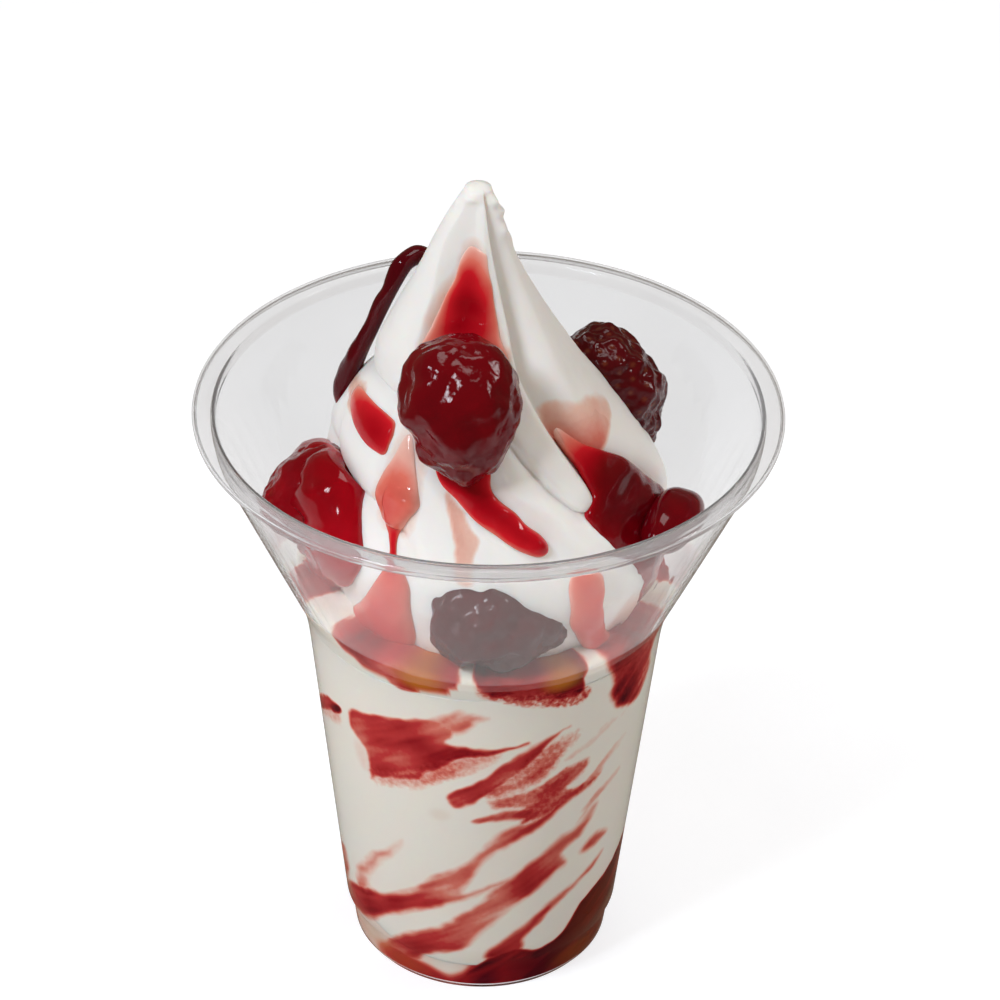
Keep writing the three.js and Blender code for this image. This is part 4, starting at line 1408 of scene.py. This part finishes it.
# %% [markdown]
# ## Runs of sauce on the swirl
# Sauce runs down the cream in films, drops and one thick ribbon. A run is a closed shape with a blunt
# start and end, so it begins as a sphere: its poles are the ends, and each ring between them becomes one
# section of the run. The rows below give the run's two edges as bearings and heights, then its thickness
# and how deep its colour is. A noise makes the edges wavy and the backs bumpy, as thick sauce is, and the
# bumps catch the lamps.

# %% Rows of the runs
# Left bearing and height, right bearing and height, thickness, depth of colour
GROOVE_RUN = [
    (-12, 140.9, 13, 141.2, 0.25, 0.16),
    (-19, 139.2, 23, 139.4, 0.5, 0.28),
    (-25.5, 135.8, 26, 136, 0.9, 0.58),
    (-32.5, 132.4, 24, 132.4, 1.1, 0.72),
    (-38, 128.4, 24, 128.4, 1.1, 0.66),
    (-41, 125, 26, 125, 1.0, 0.55),
    (-38, 121, 24, 121, 0.9, 0.55),
]
STREAM = [
    (-25, 112, 7, 111.5, 1.4, 0.95),
    (-18.5, 107, 4, 106.6, 1.6, 0.86),
    (-11, 104, 6.5, 104.1, 1.6, 0.76),
    (-3, 101.2, 11.5, 102, 1.5, 0.7),
    (5, 98.8, 16, 99.7, 1.1, 0.66),
    (12, 96.4, 20.8, 97.6, 1.7, 0.66),
    (17, 94.7, 22.8, 95.6, 1.3, 0.64),
]
LEFT_TRICKLE = [
    (-38, 112.6, -30, 112.2, 0.25, 0.14),
    (-40, 108.6, -27.5, 108.6, 0.6, 0.2),
    (-44, 105, -25.6, 105.2, 0.9, 0.34),
    (-46, 102.5, -24.6, 103, 2.2, 0.38),
    (-42.6, 100, -28.4, 100.4, 2.4, 0.4),
    (-41, 98, -32.5, 97.9, 1.6, 0.42),
    (-37, 96, -34, 96, 0.5, 0.5),
    (-35.6, 93.6, -33.4, 93.6, 0.5, 0.5),
    (-37, 91, -30.5, 91, 1.0, 0.42),
    (-41, 87.4, -27.6, 87.8, 1.7, 0.42),
    (-46, 83.4, -27, 83.8, 2.0, 0.44),
    (-53, 79, -26.6, 79, 2.0, 0.48),
    (-60, 75, -27.2, 75, 1.8, 0.5),
    (-62, 71.6, -31, 71.6, 1.2, 0.5),
]
FOLD_PATCH = [
    (-88, 112, -88, 110, 0.3, 0.2),
    (-78, 112.6, -78, 109.2, 0.5, 0.42),
    (-66, 113.1, -66, 108.4, 0.8, 0.6),
    (-54, 113.2, -54, 107.8, 0.9, 0.68),
    (-45.5, 113, -46, 107.8, 0.8, 0.64),
    (-41.5, 112, -42.5, 109.5, 0.5, 0.5),
]
print("rows of the long trickle:", len(LEFT_TRICKLE))

# %% [markdown]
# Lower down, sauce hangs in thick drops and drips from a soaked berry. At the right it gathers in a pool,
# and at the back one ribbon stands clear of the cream before it lands. The ribbon keeps its width, so only
# the way of its middle is given, and its edges are worked out from that.

# %% Rows of the drops, the pool and the ribbon
RIGHT_DROP = [
    (25.5, 91.6, 37, 91.4, 0.7, 0.34),
    (24.6, 87.6, 38.4, 88, 1.3, 0.38),
    (25, 83.6, 37.4, 84.2, 1.9, 0.42),
    (28.6, 79.4, 39.4, 80, 2.0, 0.44),
    (34.6, 75.2, 46, 76, 1.7, 0.46),
    (42, 71.6, 54, 72.4, 1.1, 0.5),
]
BERRY_DRIP = [
    (-92, 99.6, -62, 101, 2.4, 0.84),
    (-98, 97.4, -54, 98.8, 5.4, 0.84),
    (-106, 93.4, -48.6, 95.2, 6.6, 0.82),
    (-108, 88.4, -46, 90.4, 5.8, 0.8),
    (-100, 83, -51.5, 84.2, 4.2, 0.72),
    (-98, 78.6, -66, 78.4, 2.0, 0.6),
    (-96, 75, -80, 73.8, 0.9, 0.55),
]
POOL = [
    (42, 112.2, 46, 112.4, 0.3, 0.2),
    (43.5, 109, 53, 108.8, 0.7, 0.42),
    (46, 105.6, 62, 105.8, 1.2, 0.78),
    (46, 102, 70, 103, 1.6, 0.94),
    (39, 98.8, 75, 100, 1.8, 0.96),
    (40, 95.6, 80, 96.5, 2.0, 0.96),
    (44, 92, 86, 92.5, 2.2, 0.96),
    (49, 88, 92, 88, 2.2, 0.9),
    (53, 83, 92, 83, 2.0, 0.8),
    (58, 78, 86, 78, 1.6, 0.74),
    (64, 73.6, 80, 73.6, 0.9, 0.7),
]
# Bearing, height and half width along the ribbon, then how far its middle stands off the cream
RIBBON = [
    (-150, 129.6, 1.4, 0.4),
    (-130, 131, 1.7, 1.6),
    (-116, 130, 1.8, 2.2),
    (-110, 126, 1.5, 2.0),
    (-109, 120.5, 1.2, 1.6),
    (-109.5, 115, 1.5, 1.2),
    (-109, 110.5, 2.1, 0.8),
    (-107, 106, 2.3, 0.4),
    (-105, 102, 1.8, 0.0),
]
print("rows of the pool:", len(POOL), "and of the ribbon:", len(RIBBON))

# %% [markdown]
# A run is laid on the skin that it covers: its places start on the swirl and move out along the skin's own
# direction. Its lower half sinks a little into the cream, so no gap shows at its edge.

# %% Making a run
RUN_SIDES = 40
RUN_STEPS = 96
BLUNT_ENDS = 0.4
SINK = 0.7
EDGE_WAVE = 0.45
WAVES_ALONG = 5.0
EDGE_DEPTH = 0.45
BUMP_SIZE = 3.2
BUMP_SHARE = 0.3
END_DEPTH = 0.5
RIBBON_THICKNESS = 1.05
RIBBON_DEPTH = 1.0


def run_from_rows(bm, rows, edge=EDGE_DEPTH, bulge=1.0, level=None, sink=SINK, lift=None, seed=0):
    """Adds one run of sauce to a bmesh, flat below and swelling above, with thin colour at its edges."""
    ball = bmesh.ops.create_uvsphere(bm, u_segments=RUN_SIDES, v_segments=RUN_STEPS, radius=1.0)["verts"]
    points = np.array([vert.co for vert in ball])
    along = np.arccos(np.clip(points[:, 2], -1, 1)) / math.pi
    reach = np.clip(np.sin(along * math.pi) / BLUNT_ENDS, 0, 1)
    reach = np.sqrt(1 - (1 - reach) ** 2)
    turn = np.arctan2(points[:, 1], points[:, 0])
    across = np.cos(turn) * reach
    up = np.sin(turn)
    table = [(i / (len(rows) - 1), *row) for i, row in enumerate(rows)]
    b0, z0, b1, z1, thick, depth = (curve_at(table, along, column) for column in range(1, 7))
    sides = zip(along * WAVES_ALONG, np.sign(across))
    waves = np.array([noise.noise(Vector((float(t), float(side), seed))) for t, side in sides])
    share = (1 + across) / 2
    bearing = b0 + (b1 - b0) * share + np.degrees(EDGE_WAVE * waves * across / swell_radius(z0))
    height = z0 + (z1 - z0) * share
    crown = np.clip(up, 0, 1) ** bulge
    skin = swirl_place(bearing, height, level)
    thick = thick * (1 + BUMP_SHARE * wobble(skin, BUMP_SIZE, 80 + seed))
    off = np.where(up > 0, thick * crown, -sink * np.abs(up)) * reach
    if lift is not None:
        lift_rows = [(i / (len(lift) - 1), value) for i, value in enumerate(lift)]
        off = off + curve_at(lift_rows, along, 1)
        crown = np.ones_like(crown)
    move(ball, skin + swirl_normal(bearing, height, level) * off[:, None] * MM)
    fading = END_DEPTH + (1 - END_DEPTH) * reach
    mark(bm, ball, "depth", depth * (edge + (1 - edge) * crown) * fading)


def edges_of(way):
    """Rows of a run that keeps its half width on both sides of a way."""
    table = np.array(way, dtype=float)
    radius = curve_at(SWELL, table[:, 1], 1)
    rise = np.gradient(table[:, 1])
    turn = np.radians(np.gradient(table[:, 0])) * radius
    long = np.hypot(rise, turn)
    aside = np.degrees(table[:, 2] * rise / long / radius)
    raised = table[:, 2] * turn / long
    return [
        (b - a, z + r, b + a, z - r, wide * RIBBON_THICKNESS, RIBBON_DEPTH)
        for (b, z, wide, lift), a, r in zip(way, aside, raised)
    ]


# %% [markdown]
# Sauce over white cream shows its own depth: a film is pink, a run is bright red and a pool nearly black.
# So the same stored depth drives a ramp from cream to dark red. The skin is smooth and wet, with a low
# roughness. Its gloss is kept low, because the bright lamps still show in it while the dim room doesn't
# veil the red.

# %% Syrup finish
SYRUP_STOPS = [
    (0.0, PIPED_CREAM),
    (0.12, (0.86, 0.5, 0.41)),
    (0.3, (0.74, 0.17, 0.12)),
    (0.5, (0.6, 0.01, 0.018)),
    (0.7, (0.36, 0.001, 0.007)),
    (0.86, (0.17, 0.0005, 0.003)),
    (1.0, (0.07, 0.0004, 0.003)),
]
SYRUP_CLOUDS = 0.004
SYRUP_CLOUD_SHARE = 0.12
SYRUP_ROUGHNESS = 0.08
SYRUP_GLOSS = 0.2

syrup, nodes, links, shader = new_finish("strawberry_syrup")
clouds = noise_on_object(nodes, links, SYRUP_CLOUDS)
cloudy = calculate(nodes, links, "SUBTRACT", clouds, NOISE_MIDDLE)
depth = value_on_mesh(nodes, "depth")
deep = calculate(nodes, links, "MULTIPLY_ADD", cloudy, SYRUP_CLOUD_SHARE, depth)
links.new(ramp_of(nodes, links, deep, SYRUP_STOPS), shader.inputs["Base Color"])
shader.inputs["Roughness"].default_value = SYRUP_ROUGHNESS
shader.inputs["Specular IOR Level"].default_value = SYRUP_GLOSS
print("finish:", syrup.name)

# %% [markdown]
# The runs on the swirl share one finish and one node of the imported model, so they become one piece. Thin
# sauce in the front groove is pale at its edges, the drip from the soaked berry is dark nearly to its
# rim, and the ribbon is lifted off the cream.

# %% Runs on the cream
runs = bmesh.new()
runs.verts.layers.float.new("depth")
for seed, rows in enumerate((STREAM, LEFT_TRICKLE, FOLD_PATCH, RIGHT_DROP)):
    run_from_rows(runs, rows, seed=seed)
run_from_rows(runs, GROOVE_RUN, edge=0.1, seed=4)
run_from_rows(runs, BERRY_DRIP, edge=0.8, seed=5)
run_from_rows(runs, edges_of(RIBBON), level=0.0, sink=1.4, lift=[row[3] for row in RIBBON], seed=9)
finish_piece(runs, "sauce_runs", syrup, "soft_serve")

# %% [markdown]
# At the right the sauce has filled the hollow under a fold and bulges into a lump beside the flare. Its
# skin follows the swirl's plain outline and not the hollow, so the run is given a level below that
# outline.

# %% Pool at the right
POOL_LEVEL = 1.4
LUMP_BEARING = 69.0
LUMP_RADIUS = 32.6
LUMP_HEIGHT = 92.8
LUMP_SIZE = (5.0, 8.4, 4.4)
LUMP_DEPTH = 0.95
LUMP_SIDES = 64
LUMP_RINGS = 40
LUMP_BUMP = 0.12
LUMP_BUMP_SIZE = 6.0

side = bmesh.new()
side.verts.layers.float.new("depth")
run_from_rows(side, POOL, edge=0.7, bulge=0.6, level=POOL_LEVEL, sink=3.0, seed=12)
made = bmesh.ops.create_uvsphere(side, u_segments=LUMP_SIDES, v_segments=LUMP_RINGS, radius=1.0)
lump = made["verts"]
points = np.array([vert.co for vert in lump])
bumpy = 1 + LUMP_BUMP * wobble(points * LUMP_BUMP_SIZE * MM, LUMP_BUMP_SIZE, 40)
place = polar(LUMP_BEARING, LUMP_RADIUS, LUMP_HEIGHT)
turned = np.array(Matrix.Rotation(math.radians(LUMP_BEARING - 90), 3, "Z"))
move(lump, place + (points * np.array(LUMP_SIZE) * MM * bumpy[:, None]) @ turned.T)
mark(side, lump, "depth", LUMP_DEPTH + 0 * bumpy)
finish_piece(side, "side_sauce", syrup, "sauce_pool")

# %% [markdown]
# ## Berries
# A strawberry is broad at its stem end and pointed at its tip, and its seeds sit in small pits. The
# berries are whole and soaked in syrup, which fills the pits on one side. Each starts as a sphere. Its
# seeds are spread by the golden angle, as plants do, and every vertex asks for its nearest seed to know
# whether it lies in a pit.

# %% Sizes of the berries
BERRY_TAPER = 0.2
BERRY_FULLNESS = 0.1
BERRY_SIDES = 168
BERRY_RINGS = 112
SEED_SPACING = 2.5
PIT_DEPTH = 0.5
PIT_REACH = 1.0
SEED_RISE = 0.32
SEED_REACH = 0.42
GOLDEN_TURN = math.pi * (3 - math.sqrt(5))
# Node, length and width, place by bearing, radius and height, way of the tip, height of the lumps,
# way and share of the glaze, and brightness
BERRIES = [
    ("berry_front", 25.0, 19.5, (-12.5, 20.3, 119.4), (0.08, -0.3, -0.95), 1.1, (0.1, -0.6, 0.8), 1.0, 0.4),
    ("berry_left", 21.0, 18.0, (-80.0, 28.7, 91.6), (-0.8, -0.55, -0.05), 0.6, (0.7, -0.6, 0.4), 0.8, 0.52),
    ("berry_right", 27.0, 16.5, (121.0, 24.2, 102.6), (0.5, 0.1, -0.87), 1.5, (-1.0, 0.3, 0.0), -0.5, 0.3),
    ("berry_low", 23.0, 16.0, (5.0, 26.2, 83.0), (1.0, 0.1, -0.08), 1.4, (-0.2, -0.6, 0.8), 0.4, 0.2),
]


def berry_places(points, long, wide):
    """Places on a smooth berry in millimetres, from points on a unit sphere whose top is the stem end."""
    plump = 1 + BERRY_TAPER * points[:, 2:] - BERRY_FULLNESS * points[:, 2:] ** 2
    return np.concatenate([points[:, :2] * plump * wide / 2, points[:, 2:] * long / 2], axis=1)


def seed_places(long, wide):
    """Places of the seeds on a berry, a seed for each patch of skin."""
    count = int(math.pi * long * wide / SEED_SPACING**2)
    up = 1 - 2 * (np.arange(count) + 0.5) / count
    turn = np.arange(count) * GOLDEN_TURN
    flat = np.sqrt(1 - up**2)
    return berry_places(np.stack([flat * np.cos(turn), flat * np.sin(turn), up], axis=1), long, wide)


print("seeds on each berry:", [len(seed_places(row[1], row[2])) for row in BERRIES])

# %% [markdown]
# The skin of a soaked berry is dark, wet and uneven in tone, with paler seeds where the syrup is thin. A
# picture could be wrapped round it, but it would be pinched at both ends. So the colour comes from values
# on the vertices, a soft noise and a ramp, and a fine noise adds the pores.

# %% Berry skin
FLESH_STOPS = [
    (0.0, (0.02, 0.004, 0.004)),
    (0.2, (0.05, 0.004, 0.005)),
    (0.4, (0.1, 0.0015, 0.004)),
    (0.6, (0.17, 0.001, 0.004)),
    (1.0, (0.4, 0.004, 0.01)),
]
SEED_COLOUR = (0.2, 0.05, 0.02)
TONE_SIZE = 0.005
TONE_SHARE = 0.25
BARE_ROUGHNESS = 0.15
GLAZED_ROUGHNESS = 0.07
BERRY_GLOSS = 0.18
PORE_SIZE = 0.0008
PORE_DETAIL = 4.0
PORE_DEPTH = 0.0002
PORE_STRENGTH = 0.3

berry_skin, nodes, links, shader = new_finish("berry_skin")
uneven = calculate(nodes, links, "SUBTRACT", noise_on_object(nodes, links, TONE_SIZE), NOISE_MIDDLE)
tone = calculate(nodes, links, "MULTIPLY_ADD", uneven, TONE_SHARE, value_on_mesh(nodes, "tone"))
flesh = ramp_of(nodes, links, tone, FLESH_STOPS)
colour = blend_colours(nodes, links, value_on_mesh(nodes, "seed"), flesh, SEED_COLOUR)
links.new(colour, shader.inputs["Base Color"])
dry = nodes.new("ShaderNodeMapRange")
dry.inputs["To Min"].default_value = BARE_ROUGHNESS
dry.inputs["To Max"].default_value = GLAZED_ROUGHNESS
links.new(value_on_mesh(nodes, "glaze"), dry.inputs["Value"])
links.new(dry.outputs["Result"], shader.inputs["Roughness"])
shader.inputs["Specular IOR Level"].default_value = BERRY_GLOSS
pores = noise_on_object(nodes, links, PORE_SIZE, PORE_DETAIL)
bump_from(nodes, links, pores, PORE_DEPTH, PORE_STRENGTH, shader)
print("finish:", berry_skin.name)

# %% [markdown]
# Syrup runs to one side of a berry. There it fills the pits and leaves the skin smoother, brighter and
# glossier. Lumps of three sizes make each berry its own, and then it is turned to the way of its tip and
# put in its place.

# %% Berries in place
# Size of the lumps in millimetres, their share, and how far the glaze smooths them
BERRY_LUMPS = ((6.5, 1.0, 0.0), (3.4, 0.6, 0.0), (1.6, 0.25, 0.5))
GLAZE_WAVE = 0.3
GLAZE_WAVE_SIZE = 7.0
PITS_FILLED = 0.7
SEED_SHARE = 0.5
GLAZE_TONE = 0.1

for order, (node, long, wide, at, tip, lumps, glaze_way, glaze, bright) in enumerate(BERRIES):
    berry = bmesh.new()
    bmesh.ops.create_uvsphere(berry, u_segments=BERRY_SIDES, v_segments=BERRY_RINGS, radius=1.0)
    points = np.array([vert.co for vert in berry.verts])
    turn = np.array(Vector((0, 0, -1)).rotation_difference(Vector(tip)).to_matrix())
    smooth = berry_places(points, long, wide)
    seeds = seed_places(long, wide)
    tree = kdtree.KDTree(len(seeds))
    for i, place in enumerate(seeds):
        tree.insert(place, i)
    tree.balance()
    away = np.array([tree.find(place)[2] for place in smooth])
    outward = (smooth / np.array([wide, wide, long]) ** 2) @ turn.T
    outward /= np.linalg.norm(outward, axis=1, keepdims=True)
    facing = outward @ np.array(Vector(glaze_way).normalized())
    waves = GLAZE_WAVE * wobble(smooth * MM, GLAZE_WAVE_SIZE, 50 + order)
    coated = ease(-glaze, 1 - glaze, facing + waves)
    pits = SEED_RISE * np.exp(-((away / SEED_REACH) ** 2))
    pits -= PIT_DEPTH * np.exp(-((away / PIT_REACH) ** 2))
    relief = (1 - PITS_FILLED * coated) * pits
    for layer, (size, share, smoothing) in enumerate(BERRY_LUMPS):
        rough = wobble(smooth * MM, size, 60 + 5 * layer + order)
        relief += share * lumps * (1 - smoothing * coated) * rough
    move(berry.verts, polar(*at) + (smooth @ turn.T + outward * relief[:, None]) * MM)
    mark(berry, berry.verts, "seed", SEED_SHARE * (1 - coated) * np.exp(-((away / SEED_REACH) ** 4)))
    mark(berry, berry.verts, "glaze", coated)
    mark(berry, berry.verts, "tone", bright + GLAZE_TONE * coated)
    finish_piece(berry, "syrup_" + node, berry_skin, node)
